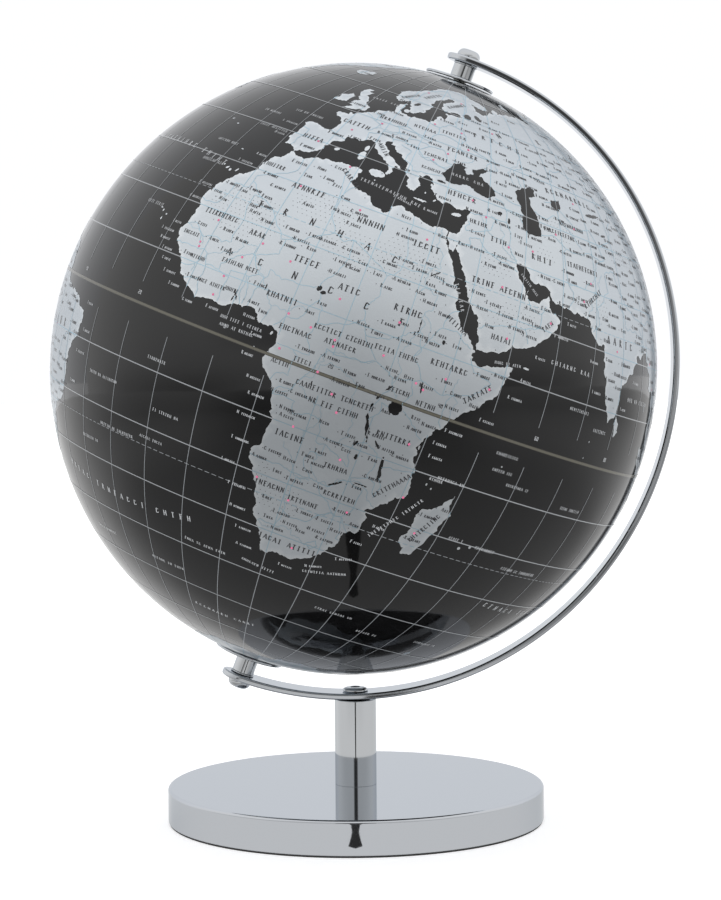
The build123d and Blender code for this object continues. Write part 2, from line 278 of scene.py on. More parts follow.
board, shader, place = new_finish("pressed_board", Specular_IOR_Level=0.3)
fibres = place.node("ShaderNodeMapping", {}, {"Vector": place, "Scale": (1, 2.6, 1)}).noise(520, 5, 0.65)
wire(shader, Base_Color=fibres.between((0.045, 0.024, 0.012, 1), (0.17, 0.105, 0.055, 1)),
     Roughness=0.7 + 0.2 * fibres, Normal=fibres.bump(0.00012))
refinish(board, "base_cover")

zinc, shader, place = new_finish("zinc_plate", Metallic=1.0)
wire(shader, Base_Color=place.noise(420, 3).between((0.42, 0.42, 0.40, 1), (0.62, 0.62, 0.58, 1)),
     Roughness=0.28 + 0.16 * place.noise(800, 3), Normal=place.noise(1500, 2).bump(0.00002))
refinish(zinc, "cover_screws", "base_bolt", "base_bolt_washer", "base_lock_washer")

iron, shader, place = new_finish("cast_iron", Metallic=0.8)
wire(shader, Base_Color=place.noise(180, 4).between((0.030, 0.028, 0.026, 1), (0.085, 0.078, 0.070, 1)),
     Roughness=0.6 + 0.2 * place.noise(700, 3), Normal=place.noise(900, 4, 0.7).bump(0.0003))
refinish(iron, "base_ballast")


# ---- The post: a short length of chrome-plated steel tube on the middle of the base. A steel plug
# with a thread is pressed into each end, and the upper one stands just proud and carries the arm.
post_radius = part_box("post_tube")[1].x / MM
post_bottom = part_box("post_tube")[0].z / MM
post_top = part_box("post_tube")[1].z / MM

tube_chrome = chrome_finish("chrome_on_tube", (0.560, 0.575, 0.590), 60)
post = turned("post_polished", rounded(
    [(0, post_bottom), (post_radius, post_bottom), (post_radius, post_top), (0, post_top)],
    [0, 0.1, 0.3, 0]), segments=160)
fit(post, tube_chrome, "stand", "chrome", "post_tube")

plug, shader, place = new_finish("turned_steel", Metallic=1.0)
rings = place.node("ShaderNodeTexWave", {"wave_type": "RINGS", "rings_direction": "Z"},
                   {"Vector": place, "Scale": 1600.0, "Distortion": 0.6})
wire(shader, Base_Color=place.noise(300, 2).between((0.16, 0.16, 0.16, 1), (0.26, 0.26, 0.25, 1)),
     Roughness=0.3 + 0.15 * rings, Normal=rings.bump(0.00001))
refinish(plug, "post_foot_insert", "post_top_insert")


# ---- The arm: a steel strip 16 mm wide, its edges eased and its ends rounded, rolled to a curve a
# little outside the ball and plated. It runs from pole to pole past the ball's right side.
spin = frame["joints"][0]
ring_centre = np.array(spin["pos_m"], float)
arm_points = np.array([v.co for v in frame["nodes"]["meridian_arm"].data.vertices]) - ring_centre
arm_half_width = arm_points[:, 1].max()
arm_edge = 0.75 * MM
arm_angle = np.arctan2(arm_points[:, 2], arm_points[:, 0])
arm_reach = np.hypot(arm_points[:, 0], arm_points[:, 2])
middle_line = np.polynomial.Polynomial.fit(arm_angle, arm_reach, 9)
on_inside = arm_reach < middle_line(arm_angle)
inner_line = np.polynomial.Polynomial.fit(arm_angle[on_inside], arm_reach[on_inside], 9)
outer_line = np.polynomial.Polynomial.fit(arm_angle[~on_inside], arm_reach[~on_inside], 9)
arm_thickness = float(np.median(outer_line(arm_angle) - inner_line(arm_angle)))


def swept_strip(first_angle, last_angle, half_width, thickness, edge, steps=420, end_steps=24):
    """A strip with round ends, carried along the inner line. Its plan is every point that lies half the
    width or less from a line down its middle: (i, j) stands at the share of the half width, and the
    height, of point i of the strip's half section, to the side that point j of the plan's edge faces."""
    ends = np.array([first_angle, last_angle])
    ends += np.array([1, -1]) * half_width / inner_line(ends)
    along = np.linspace(ends[0], ends[1], steps)
    side = np.stack([0 * along, 0 * along - 1], axis=-1)
    turn = np.linspace(-math.pi / 2, math.pi / 2, end_steps)[1:-1]
    cap = np.stack([np.cos(turn), np.sin(turn)], axis=-1)
    middle = np.concatenate([along, turn * 0 + ends[1], along[::-1], turn * 0 + ends[0]])
    facing = np.concatenate([side, cap, -side, -cap])
    section = rounded(np.array([(0, 0), (half_width, 0), (half_width, thickness), (0, thickness)]) / MM,
                      np.array([0, edge, edge, 0]) / MM, steps=8) * MM
    section = np.roll(section, -int(np.argmax(section[:, 0] + section[:, 1] * 1e-3 < 1e-9)), axis=0)
    share, height = section[:, 0, None], section[:, 1, None]
    angle = middle + share * facing[:, 0] / inner_line(middle)
    reach = inner_line(angle) + height
    points = np.stack([reach * np.cos(angle), -share * facing[:, 1] + 0 * angle, reach * np.sin(angle)], -1)
    number = np.arange(angle.size).reshape(angle.shape)
    beside, above = np.roll(number, -1, axis=1)[:-1], number[1:]
    quads = np.stack([number[:-1], above, np.roll(number, -1, axis=1)[1:], beside], axis=-1)
    return points + ring_centre, quads.reshape(-1, 4)


def weld(piece, distance=1e-7):
    """Joins points that lie on each other, and turns all faces outwards."""
    shape = bmesh.new()
    shape.from_mesh(piece.data)
    bmesh.ops.remove_doubles(shape, verts=shape.verts, dist=distance)
    bmesh.ops.recalc_face_normals(shape, faces=shape.faces)
    shape.to_mesh(piece.data)
    shape.free()


strip_chrome = chrome_finish("chrome_on_strip", (0.560, 0.580, 0.605), 30)
arm_strip, arm_quads = swept_strip(arm_angle.min(), arm_angle.max(), arm_half_width, arm_thickness, arm_edge)
arm = mesh_piece("arm_rolled_strip", arm_strip, [arm_quads])
weld(arm)
arm.data.set_sharp_from_angle(angle=math.radians(35))
fit(arm, strip_chrome, "stand", "chrome", "meridian_arm")


# ---- The screws: plated button heads with a hexagon socket. One holds the arm down on the post, and
# one at each pole goes through the arm, a spacer and a disc into the ball's bearing.
def button_screw(name, place, seat, head, height, socket, depth, straight=0.5, flat=2.2):
    """A button head: straight for a little way, then an arc to the flat round the socket. The socket's
    radius at each turn is half its flats / cos(turn from the nearest flat), which makes it six sided."""
    rise = np.linspace(0, math.pi / 2, 14)
    dome = np.stack([flat + (head - flat) * np.cos(rise),
                     seat + straight + (height - straight) * np.sin(rise)], axis=-1)
    mouth = socket / 2 / math.cos(math.pi / 6)
    outline = np.concatenate([
        [(0, seat), (head - 0.2, seat), (head, seat + 0.2)], dome,
        [(mouth + 0.15, seat + height), (mouth, seat + height - 0.12),
         (mouth, seat + height - depth), (0, seat + height - depth - 0.5)]])
    screw = turned(name, outline, place, segments=96)
    at = np.array([v.co for v in screw.data.vertices])
    local = unplace(place, at) / MM
    turn = np.arctan2(local[:, 1], local[:, 0])
    inside = (np.hypot(local[:, 0], local[:, 1]) < mouth + 0.01) & (local[:, 2] > seat + height - depth - 0.1)
    flats = np.cos(math.pi / 6) / np.cos((turn + math.pi / 6) % (math.pi / 3) - math.pi / 6)
    local[:, :2] *= np.where(inside, flats, 1)[:, None]
    screw.data.vertices.foreach_set("co", place(local * MM).astype(np.float32).ravel())
    screw.data.set_sharp_from_angle(angle=math.radians(28))
    return screw


def unplace(place, points):
    """Points in an own frame that the place carries to these: the same turn and shift, undone."""
    origin = place(np.zeros(3))
    return (points - origin) @ np.stack([place(axis) - origin for axis in np.eye(3)]).T


low_head_radius, low_head_height, low_socket, low_socket_depth = 5.3, 1.6, 3.8, 1.4
strip_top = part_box("arm_screw")[1].z / MM - low_head_height
arm_screw = button_screw("arm_screw_head", upright, strip_top, low_head_radius, low_head_height, low_socket,
                         low_socket_depth, straight=0.3, flat=3.2)
fit(arm_screw, tube_chrome, "stand", "chrome", "arm_screw")


# ---- The pole fittings: at each pole a screw, a washer under its head, a turned spacer inside the arm
# and a thin dished disc that keeps dust out of the bearing. Distances are along the ball's axis. The ball
# sits a little nearer to the upper seat, so the upper spacer is the shorter one.
tilt_axis = np.array(spin["axis"], float)
across = np.array([0, 1.0, 0])
uphill = np.cross(across, tilt_axis)
seat_rise, ball_rise = 0.3, 1.0
disc_radius, disc_seat, disc_thickness = 14.5, 126.7, 1.2
disc_flat, disc_dish = 5.2, 0.85
spacer_radius, spacer_far = 4.6, 133.9
washer_radius, washer_far = 4.95, 134.5
head_seat, head_radius, head_height = 137.4, 4.75, 3.2
socket_width, socket_depth = 3.0, 2.2
disc_bore, spacer_bore, washer_bore = 3, 2.6, 2.65
shank_radius, shank_length = 2.45, 25


def north(points):
    """A pole fitting's own frame, with z along the axis to the north, carried to its place."""
    return points @ np.stack([uphill, across, tilt_axis]) + ring_centre + seat_rise * MM * tilt_axis


def south(points):
    """A pole fitting's own frame, with z along the axis to the south, carried to its place."""
    return points @ np.stack([uphill, -across, -tilt_axis]) + ring_centre + seat_rise * MM * tilt_axis


for name, place, rise in (("north", north, ball_rise - seat_rise),
                          ("south", south, seat_rise - ball_rise)):
    disc_near, disc_far = disc_seat + rise, disc_seat + disc_thickness + rise
    disc = turned(f"{name}_disc_turned", rounded(
        [(disc_bore, disc_near), (disc_flat, disc_near), (disc_radius, disc_near - disc_dish),
         (disc_radius, disc_far - disc_dish), (disc_flat, disc_far), (disc_bore, disc_far)],
        [0, 0.3, 0.45, 0.5, 0.3, 0]), place, segments=128)
    fit(disc, strip_chrome, "stand", "chrome", f"{name}_pole_disc")
    spacer = turned(f"{name}_spacer_turned", rounded(
        [(spacer_bore, disc_far), (spacer_radius, disc_far),
         (spacer_radius, spacer_far), (spacer_bore, spacer_far)],
        [0, 0.2, 0.2, 0]), place, segments=96)
    fit(spacer, tube_chrome, "stand", "chrome", f"{name}_spacer")
    washer = turned(f"{name}_washer_pressed", rounded(
        [(washer_bore, spacer_far), (washer_radius, spacer_far),
         (washer_radius, washer_far), (washer_bore, washer_far)],
        [0, 0.1, 0.25, 0]), place, segments=96)
    fit(washer, tube_chrome, "stand", "chrome", f"{name}_washer")
    screw = button_screw(f"{name}_screw_head", place, head_seat, head_radius, head_height,
                         socket_width, socket_depth)
    shank = turned(f"{name}_screw_shank", rounded(
        [(0, head_seat - shank_length), (shank_radius, head_seat - shank_length),
         (shank_radius, head_seat), (0, head_seat)],
        [0, 0.4, 0, 0]), place, segments=48)
    fit(screw, tube_chrome, "stand", "chrome")
    fit(shank, zinc, "stand", "chrome")
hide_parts("pole_screws")


# ---- The ball: two thin polystyrene bowls, glued to a ring inside their joint at the equator. They
# are covered with the printed and laminated map, cut as gores so close that no seam shows.
ball_radius, ball_pole = 125.0, 126.3
sea_radius = 124.895
wall = 2.0
pole_hole = 4.05
joint_chamfer = 0.12

gloss = 0.045
sea_dark, sea_light = (0.0024, 0.0024, 0.0025, 1), (0.0050, 0.0050, 0.0052, 1)
sea_ink, shader, place = new_finish("sea_black_lacquer", Coat_Weight=0.0, IOR=1.5)
wire(shader, Base_Color=place.noise(30, 3).between(sea_dark, sea_light),
     Roughness=gloss + 0.03 * place.noise(70, 4, 0.6) + 0.10 * place.specks(330, 0.11),
     Normal=place.noise(160, 2).bump(0.000012))

hole_angle = math.asin(pole_hole / sea_radius)
sweep = np.linspace(hole_angle, math.pi / 2 - joint_chamfer / sea_radius, 130)
outside = np.stack([sea_radius * np.sin(sweep), sea_radius * np.cos(sweep)], axis=-1)
back_sweep = np.linspace(math.pi / 2, math.asin(pole_hole / (ball_radius - wall)), 40)
inside = (ball_radius - wall) * np.stack([np.sin(back_sweep), np.cos(back_sweep)], axis=-1)
bowl = np.concatenate([outside, [(sea_radius - joint_chamfer, 0.02)], inside])

stretch = np.array([1, 1, ball_pole / ball_radius])
ball_centre = ring_centre + ball_rise * MM * tilt_axis


def ball_north(points):
    """The ball's own frame, with z along its axis to the north: the joined bowls are a little long there."""
    return points * stretch @ np.stack([uphill, across, tilt_axis]) + ball_centre


def ball_south(points):
    """The ball's own frame turned over, for the southern bowl."""
    return points * stretch @ np.stack([uphill, -across, -tilt_axis]) + ball_centre


for name, place in (("north", ball_north), ("south", ball_south)):
    shell = turned(f"{name}_bowl_printed", bowl, place, segments=256)
    fit(shell, sea_ink, "globe", "printed_ball", f"{name}_hemisphere")

nylon, shader, place = new_finish("white_nylon", Subsurface_Weight=0.1)
wire(shader, Base_Color=place.noise(300, 2).between((0.56, 0.55, 0.50, 1), (0.66, 0.65, 0.60, 1)),
     Roughness=0.42 + 0.1 * place.noise(900, 2), Normal=place.noise(1800, 2).bump(0.00001))
refinish(nylon, "north_bush", "south_bush")
inner, shader, place = new_finish("bare_polystyrene")
wire(shader, Base_Color=place.noise(120, 3).between((0.60, 0.60, 0.57, 1), (0.72, 0.72, 0.69, 1)),
     Roughness=0.45 + 0.12 * place.noise(500, 2), Normal=place.noise(900, 2).bump(0.00002))
refinish(inner, "joint_ring")
refinish(zinc, "nut_washers", "pole_nuts")


# ---- The map's land: silver film on the black, one thin patch for each land mass, in outlines that
# were drawn as longitude,latitude and made as ragged as real coasts.
land_radius = 124.95
lake_radius = 124.982
patch_spacing = 3.0
face_longitude = 112.6

def rows_of(text, columns=2):
    """Rows of numbers out of a written block, most often longitudes and latitudes."""
    return np.array(text.replace(",", " ").split(), float).reshape(-1, columns)


AFRICA = """-5.9,35.8 -5.3,35.9 -4.3,35.2 -3,35.3 -2,35.1 -1,35.7 0.5,36.4 2.9,36.8 5,36.8 6.3,37 8.5,36.9
9.8,37.3 11,37 10.4,36.2 10.8,35.4 10.1,34.3 10.3,33.7 11.2,33.2 12.5,32.8 13.9,32.8 15.2,32.4 15.6,31.5
17.5,30.8 19,30.3 20,30.9 20,32.1 21.7,32.9 23.2,32.2 25,31.7 27.5,31.2 29.2,30.9 30.5,31.5 31.9,31.5
32.4,31.2 32.4,30 33,28.6 34,26.9 35.2,24.9 35.7,23.8 36.8,22 37.3,20.8 37.3,19 38.5,18 39,16.4 39.7,15.3
41.2,14.6 42.5,13.2 43.3,12.3 42.7,11.6 44,10.5 46.5,10.8 48.9,11.3 51.2,11.9 51,10.4 50,8.2 48.6,5.5
46.5,3 44,1 42.2,-1.2 40.8,-2.6 39.6,-4.4 38.8,-6.3 39.5,-7.2 39.4,-8.8 40.4,-10.4 40.6,-12.5 40.7,-15
38.2,-17.3 36.3,-18.8 34.8,-19.9 35.4,-22.2 35.5,-23.9 33,-25.3 32.8,-26.5 32.6,-28.4 31.2,-29.8
29.5,-31.7 27.5,-33.2 25.7,-34 23,-34.1 20,-34.8 18.5,-34.2 18.3,-32.6 17.3,-30.4 16.3,-28.6 15.1,-26.6
14.5,-23 13.3,-20.5 12,-18.2 11.8,-16 13.4,-12.6 13.7,-10.8 12.9,-9 13.3,-8.5 12.4,-6.1 11.9,-4.9
10.6,-3.4 9.2,-2.2 8.8,-0.7 9.4,0.4 9.8,1.5 9.7,3.9 8.9,4.3 8.3,4.7 7,4.4 6,4.3 5.2,5.4 4.3,6.3 2.7,6.3
1.2,6.1 0,5.6 -2.1,4.8 -3.8,5.2 -5.8,5 -7.5,4.4 -9.2,5.6 -10.8,6.4 -12.5,7.4 -13.2,8.6 -13.7,9.6 -15,10.9
-16,11.9 -16.8,12.6 -16.7,13.4 -17.5,14.7 -16.5,16 -16.2,18 -16.3,19.6 -17,20.9 -16.9,22.2 -15.9,23.8
-14.8,25.6 -13.5,27.1 -12.9,27.9 -11,28.8 -9.8,29.8 -9.7,30.6 -9.8,31.5 -8.9,32.9 -7.6,33.6 -6.8,34.1
-6.1,35.1"""
EURASIA = """32.6,31.2 34.2,31.3 34.9,32.8 35.8,34.8 35.8,36 36.1,36.8 34.6,36.7 33,36.1 30.6,36.8
29.6,36.2 28.2,36.8 27.3,37.8 26.3,38.4 26.8,39.5 26.2,40 26.1,40.6 24.4,40.9 23.8,40.2 22.9,40.4 23,39.3
24,38.2 23.6,37.9 22.9,36.6 22.3,36.6 21.7,36.8 21.2,37.8 21,38.8 20,39.7 19.4,41 19.5,41.9 17.5,42.9
15.9,43.6 14.9,45 13.6,45 13.6,45.7 12.3,45.3 12.4,44.3 13.6,43.5 14.2,42.5 16.1,41.8 18.4,40.2 17.2,40.5
16.6,39.7 17.1,39 16.1,37.9 15.7,38.2 16.1,39 15.6,40.1 14.3,40.8 12.3,41.7 10.5,42.9 10,44.1 8.8,44.4
7.5,43.8 6.2,43.1 4.8,43.4 3.1,43.1 3.2,41.9 0.8,40.9 -0.3,39.4 0.2,38.7 -0.7,37.7 -2.1,36.8 -4.4,36.7
-5.6,36 -6.4,36.8 -7.4,37.2 -8.9,37 -8.8,38.4 -9.5,38.8 -8.7,41 -9.2,43.1 -8,43.8 -4.5,43.4 -1.8,43.4
-1.2,45 -1.2,46.2 -2.5,47.3 -4.7,48 -4.6,48.6 -1.6,48.7 -1.8,49.7 -0.2,49.3 1.6,50.6 3.3,51.4 4.6,52.8
6.9,53.5 8.8,53.9 8.2,55.5 8.3,57 10.6,57.7 10.3,56.3 9.7,55.2 10.8,54.3 12.4,54.4 14.2,53.9 16.5,54.5
18.6,54.7 19.9,54.5 21,55.4 21.2,57 22.6,57.7 24.2,57.1 24.4,58.4 23.5,59.2 26,59.6 28.1,59.6 30,59.9
28.5,60.6 25,60.1 22.9,59.9 21.4,61 21.4,62.9 23.5,64.1 25.3,65.2 24.3,65.8 22,65.5 21,64.2 18,62.6
17.2,60.8 18.9,59.9 18,58.9 16.6,58 16.5,56.7 14.6,55.8 14.2,55.4 12.9,55.5 12.4,56.4 11.3,58.6 10.6,59.4
9.6,58.9 8,58.1 6.8,58 5.5,58.8 5.1,60.3 5.1,62 8,63.4 10.5,64.6 13,66.3 15.2,68 18.5,69.6 22.5,70.6
25.8,71.1 29,70.8 31,70.3 33,69.5 36,69.1 40.5,67.8 41.1,66.7 38.5,66.1 34.5,66.7 32.6,67.1 34.8,64.5
37.6,63.9 40.4,64.6 42.2,66.4 44,66.1 44.2,68.3 46,68.2 46.3,66.9 48,67.6 53,68.6 54.4,68.3 59,68.9
60.9,69.8 65,69.2 68.1,68.3 66.8,69.6 67,71.4 69,72.9 72.6,72.8 72.7,70.9 73.6,68.4 71.5,66.4 74,68
74.5,71.5 77,72.2 80.5,73.6 86.9,74.6 95,76.1 104.3,77.7 106.1,77.4 112.7,76 109,74 113.5,73.6 118.8,73.1
126.5,73.5 128.6,71.7 131.3,70.9 139.9,72.4 149,72.2 152.9,70.9 159,70.7 161.5,69.4 170,69.7 176,69.8
180,68.9 184.5,67 190,66.1 188.3,64.4 181,65.5 178.5,64.5 177.4,62.5 170.5,60 165,60 163.3,58.5 163,56.1
160,53.1 156.7,51.1 155.6,55 156.8,57.8 161.9,60.3 163.7,62.5 159.8,61 156.7,61.4 154.2,59.8 148.7,59.4
142.2,59.1 137.5,54 141.4,53 140.5,48.5 135.5,44 131.9,43.1 129.7,41.5 127.5,39.6 129.4,37.1 129.2,35.2
126.4,34.5 126.7,36.9 125,38.1 124.4,40 121.2,38.9 121.9,40.9 118,39.1 119,37.3 122.6,37 119.3,35
120.9,32.8 121.9,31 121.8,29 119.6,25.6 117,23.4 113.8,22.2 110.5,21.3 109.7,20.3 108.2,21.6 106.7,20.4
105.8,18.8 108.3,16.2 109.3,13 107.2,10.4 105,8.7 105,10.2 103,11.3 100.9,12.8 100.5,13.5 99.9,12.5
99.3,9.5 100.5,7.2 103,5.3 103.5,2.6 104.1,1.3 101.3,2.9 100.3,5.9 98.3,8 98.6,12 97.7,15.5 95.3,15.8
94.4,16.3 94.2,19 92.2,20.9 91.7,22.4 89.5,21.8 87,21.5 86.4,20 82.3,16.6 80.3,15.3 80.2,12.7 79.8,10.3
78.2,8.9 77.5,8.1 76.2,10.2 74.6,14 72.9,18.5 72.8,21.2 70.9,20.8 69,22.3 67,24.8 64,25.3 61.6,25.2
57.3,25.7 56.7,27.1 52.6,27.5 50.1,30.2 48,30 48.7,28 50.2,26.5 50.8,24.8 51.4,26 51.6,24.3 54.2,24.2
56.3,26.2 56.7,24.3 59.8,22.5 57.8,19.5 55,17 52.2,15.6 48.5,14 45,12.8 43.4,12.7 42.8,15.3 42.6,16.6
41,18.8 39.1,21.4 38,24 36.9,25.9 35.2,28.1 34.9,29.5 34.3,27.8 33.2,28.7 32.6,29.9"""
AMERICAS = """-168,65.6 -162,66.5 -163,68.3 -166,68.3 -156.7,71.3 -141,69.7 -134,69.5 -127,70.2 -115,68.5
-108,68 -96,68.2 -94.5,71.8 -88,68.5 -82,69.7 -81.5,67.5 -86,66.3 -87,64.6 -93.5,62 -94.7,60 -92.5,57
-88,56.6 -82.3,55.2 -82.2,53 -80,51.3 -79.5,54.7 -76.6,57.2 -78,60 -77.8,62.4 -73.5,62.3 -69.6,61
-67.5,58.3 -64.4,60.3 -61.8,57.5 -55.8,53 -60,50.2 -66.5,50.2 -70,47.5 -65,49.2 -64.8,46.5 -61,45.3
-65.5,43.5 -64.8,45.5 -67,44.8 -70.2,43.6 -70,41.7 -74,40.7 -74.9,38.9 -76,37 -75.6,35.3 -78,33.9
-81.2,31.7 -80,26.8 -80.5,25.2 -81.8,26.1 -82.8,28 -84,30.1 -89.5,30.2 -89.3,29.1 -94.7,29.4 -97.2,27.7
-97.8,22.3 -96.3,19.3 -94.5,18.2 -91.8,18.5 -90.4,20.9 -87,21.5 -88.9,15.9 -86,15.9 -83.3,15 -83.7,11
-82.2,9.2 -79.9,9.3 -77.4,8.7 -75.5,10.6 -71.7,12.4 -71.3,11 -68.4,11.2 -66,10.6 -62,10.7 -60,8.5 -57.2,6
-54,5.8 -51.6,4.2 -50,1.5 -50,0 -48.5,-1.2 -44.3,-2.6 -41.5,-2.9 -38.5,-3.7 -35.3,-5.3 -34.8,-7.5
-35.3,-9.3 -37,-11 -38.5,-13 -39,-15.5 -39.2,-17.8 -40.2,-20.3 -41,-22 -43.2,-23 -46.4,-24 -48.5,-26
-48.7,-28.3 -51.2,-31.5 -53.4,-33.8 -55,-34.9 -58.3,-34.2 -57,-36.3 -57.7,-38.1 -62.2,-39 -65,-41
-63.7,-42.3 -67.5,-46 -65.8,-47.8 -69,-50.3 -68.4,-52.3 -71,-53.8 -74.5,-51.5 -75.5,-48 -74.5,-45 -73,-42
-73.4,-37.2 -71.5,-32.5 -70.5,-27.5 -70.3,-20 -71.3,-17.7 -76.2,-13.9 -79.2,-8 -81.2,-6 -80.3,-3.4 -80,0
-78.8,1.4 -77.1,3.9 -77.9,7.2 -80,7.4 -83,8.2 -85.7,10 -87.6,12.9 -94.5,16.2 -101,17.3 -105.5,20.3
-109,25.5 -112.2,29 -114.7,31.7 -112.8,28 -110.3,24.5 -109.5,23 -112.2,25 -115,28 -117.3,33 -120.6,34.6
-122.5,37.5 -124.3,40.4 -124.7,48.3 -122.4,48 -127.8,52.2 -130.5,55 -134.5,58 -139.5,59.7 -146,60.8
-151.5,61 -153.5,59.2 -158,56.3 -164,54.6 -157.5,58.6 -162,59.2 -165.5,61.8 -161,64.4 -166,64.5"""
ANTARCTICA = """-180,-78 -160,-78 -150,-77 -135,-74.5 -115,-74 -100,-72.5 -85,-73.3 -73,-73 -67,-68.5
-62,-64.8 -57,-63.4 -61,-67 -61.5,-72 -61,-75 -45,-78 -30,-77 -15,-72.5 0,-70 20,-70 38,-69.5 50,-67
60,-67.3 70,-69.5 88,-66.7 105,-66 120,-66.8 135,-66.2 150,-68.5 165,-70.8 165,-77.5"""
AUSTRALIA = """113.7,-22.6 114.2,-26.3 115.7,-31.8 115,-34.2 118,-35 123.5,-33.9 126,-32.3 131.2,-31.5
134.3,-32.8 135.5,-34.8 137.8,-32.7 138.2,-35.5 140.5,-38 143.6,-38.8 146.3,-39 150,-37.4 151.5,-33
153.4,-28.8 153,-25.3 149,-20.5 146.2,-18.8 145.4,-15 142.6,-10.8 141.6,-13 140.9,-17.4 139,-17.4
135.5,-15 136.8,-12.2 132.5,-11.4 129.5,-14.9 126.8,-14 123.8,-16.5 122.2,-18.2 118.8,-20.2"""
ISLANDS = [
    "-73,78.2 -60,82 -32,83.6 -20,82 -18,79.5 -20,76 -22,72.5 -25,70.5 -32.5,68 -40,65 -43.5,60 -48.5,61 "
    "-52,64.5 -53.8,67.5 -51,69.7 -55,72.5 -60,76 -68,76.2",
    "-64.5,63 -61.5,66.5 -68,70 -78,72.8 -89.5,73.5 -89,71 -80,69.7 -73,68 -73,65 -78,64.3 -71,62.7",
    "-117,69 -105,69 -104.5,73 -118,72.5", "-90,76.5 -78,76.3 -64,81.8 -70,83 -91,81.3",
    "-59.3,47.7 -53,46.7 -53,48.5 -55.5,51.5",
    "-84.9,21.9 -82,23.1 -77,21.6 -74.2,20.2 -77.5,19.9 -82,22.5",
    "-74.4,18.5 -72.5,19.9 -69.9,19.7 -68.5,18.5 -71.5,17.8",
    "-24,65.5 -22,64 -18.8,63.4 -14,64.8 -15,66.2 -20,66",
    "-5.6,50.1 -3.6,50.3 1.3,51.2 1.7,52.7 0.1,53.2 -1.6,55.5 -3.2,56 -1.9,57.6 -4,57.7 -3.1,58.6 -5,58.6 "
    "-6,56.6 -4.8,54.8 -3,54 -4.5,53.2 -4.2,52.2 -5.2,51.8 -3,51.5",
    "-6.1,52.2 -6,53.8 -5.6,54.6 -7.3,55.3 -8.5,54.4 -10,54 -9.3,52.9 -10.3,51.9 -8.3,51.8",
    "49.3,-12 50.4,-15.7 49.5,-17.5 48.5,-20.5 47.1,-24.9 45,-25.5 43.7,-23.5 43.4,-22 44.4,-20 44,-17.5 "
    "44.5,-16.2 46.3,-15.7 48,-13.6", "79.8,8.2 80.1,9.7 81.3,8.6 81.8,7 80.6,6",
    "95.3,5.5 97.6,5.2 100.4,2.6 103.5,0.3 106,-3 105.8,-5.8 104.5,-5.8 101.2,-2.7 98.7,1.6",
    "105.2,-6.8 106.8,-6.1 110.8,-6.5 114.5,-7.8 114.4,-8.7 108.5,-7.8",
    "109,1.5 113,3.2 115.4,5.5 117,7 119.2,5.2 117.8,3.5 118.9,0.9 116.4,-1.5 116.2,-3.9 111.7,-3.4 "
    "110,-1.3",
    "119.5,-5.5 118.9,-2.8 119.8,0.2 121,1.3 125,1.6 120.5,0.4 120.3,-0.9 123.3,-0.8 121.5,-2 122.8,-4.3 "
    "120.4,-3",
    "131,-0.8 134,-0.8 135,-3.3 137.8,-1.5 141,-2.6 145,-4.3 147.8,-6 150.7,-10.3 147.3,-9.5 144,-7.7 "
    "142.5,-9.2 138,-8.3 138,-5.5 133,-4", "120.3,16 120.8,18.5 122.2,18.4 121.6,16 124,13 121,13.7",
    "122,7 123.5,8.6 125.5,9.7 126.5,7.5 125.5,5.7",
    "131,34.4 132.6,35.5 136,36 136.8,37.3 139.5,38.5 140,40.5 141.2,41.4 142,39.5 140.8,35.7 138.8,34.7 "
    "135.7,33.5 135,34.6 132.4,34.3", "140,42 141.6,45.4 145.2,43.7 143.2,42",
    "130,33.4 132,33.7 134.5,34.2 134,33.4 131.3,31.5 130.3,31.3",
    "142.6,54.3 143.2,52 144.5,49 142,46 142,51", "144.7,-40.8 148.3,-40.9 148,-43 146.5,-43.6",
    "172.7,-34.5 175,-36.5 178.5,-37.7 175.2,-41.6 173.8,-39.4",
    "172.7,-40.6 174.2,-41.6 172.8,-43.8 170.7,-46 168.4,-46.6 166.5,-45.9",
    "11,79 15,77 20,77.8 25,80 15,80", "52,71 57.5,70.7 56,73 68,76.7 60,76 53.5,73",
    "-68.6,-52.7 -65.2,-54.7 -70,-55.2 -74,-53"]

# Small islands and lakes as ovals: longitude, latitude, half length and half width in degrees, heading.
SMALL_ISLANDS = rows_of("""14.1,37.5,1.5,0.8,90 9,40.1,1.1,0.6,5 9.1,42.1,0.7,0.35,5
24.9,35.3,1.2,0.22,90 33.2,35,0.9,0.35,75 3,39.6,0.5,0.35,60 11.8,55.5,0.6,0.5,0 120.9,23.7,1.4,0.6,20
109.8,19.2,0.9,0.8,60 125.5,-9,1.8,0.4,60 53.9,12.5,0.6,0.2,90 55.5,-21.1,0.3,0.3,0
57.6,-20.3,0.3,0.25,0 43.3,-11.7,0.25,0.15,0 44.4,-12.2,0.2,0.15,0 39.4,-6.1,0.4,0.15,0
-15.6,28,0.3,0.25,0 -16.6,28.3,0.4,0.2,50 -14,28.4,0.45,0.15,30 -17.9,28.7,0.2,0.15,0
-24.3,16.6,0.25,0.15,0 -23.6,15.1,0.3,0.15,0 -25.1,17,0.25,0.12,90 -22.9,16.1,0.15,0.2,0
8.7,3.5,0.35,0.2,20 6.6,0.2,0.2,0.15,0 73.5,4,0.2,0.1,0 73.3,1,0.15,0.1,0 55.5,-4.7,0.15,0.15,0
27.9,36.2,0.35,0.15,40 26.3,39.2,0.3,0.2,0 25.5,37.1,0.2,0.12,0 14.4,35.9,0.15,0.1,0
-17,32.8,0.25,0.12,90 -25.4,37.8,0.3,0.12,90 -28.5,38.6,0.3,0.12,60 92.8,12.5,0.9,0.15,5
70,-49.3,0.7,0.5,40 -59,-51.8,1.3,0.5,90 -77.3,18.1,0.8,0.3,90 -66.4,18.2,0.7,0.3,90
-155.5,19.6,0.5,0.45,0 178,-17.8,0.6,0.4,0 165.5,-21.3,1.6,0.3,125""", 5)
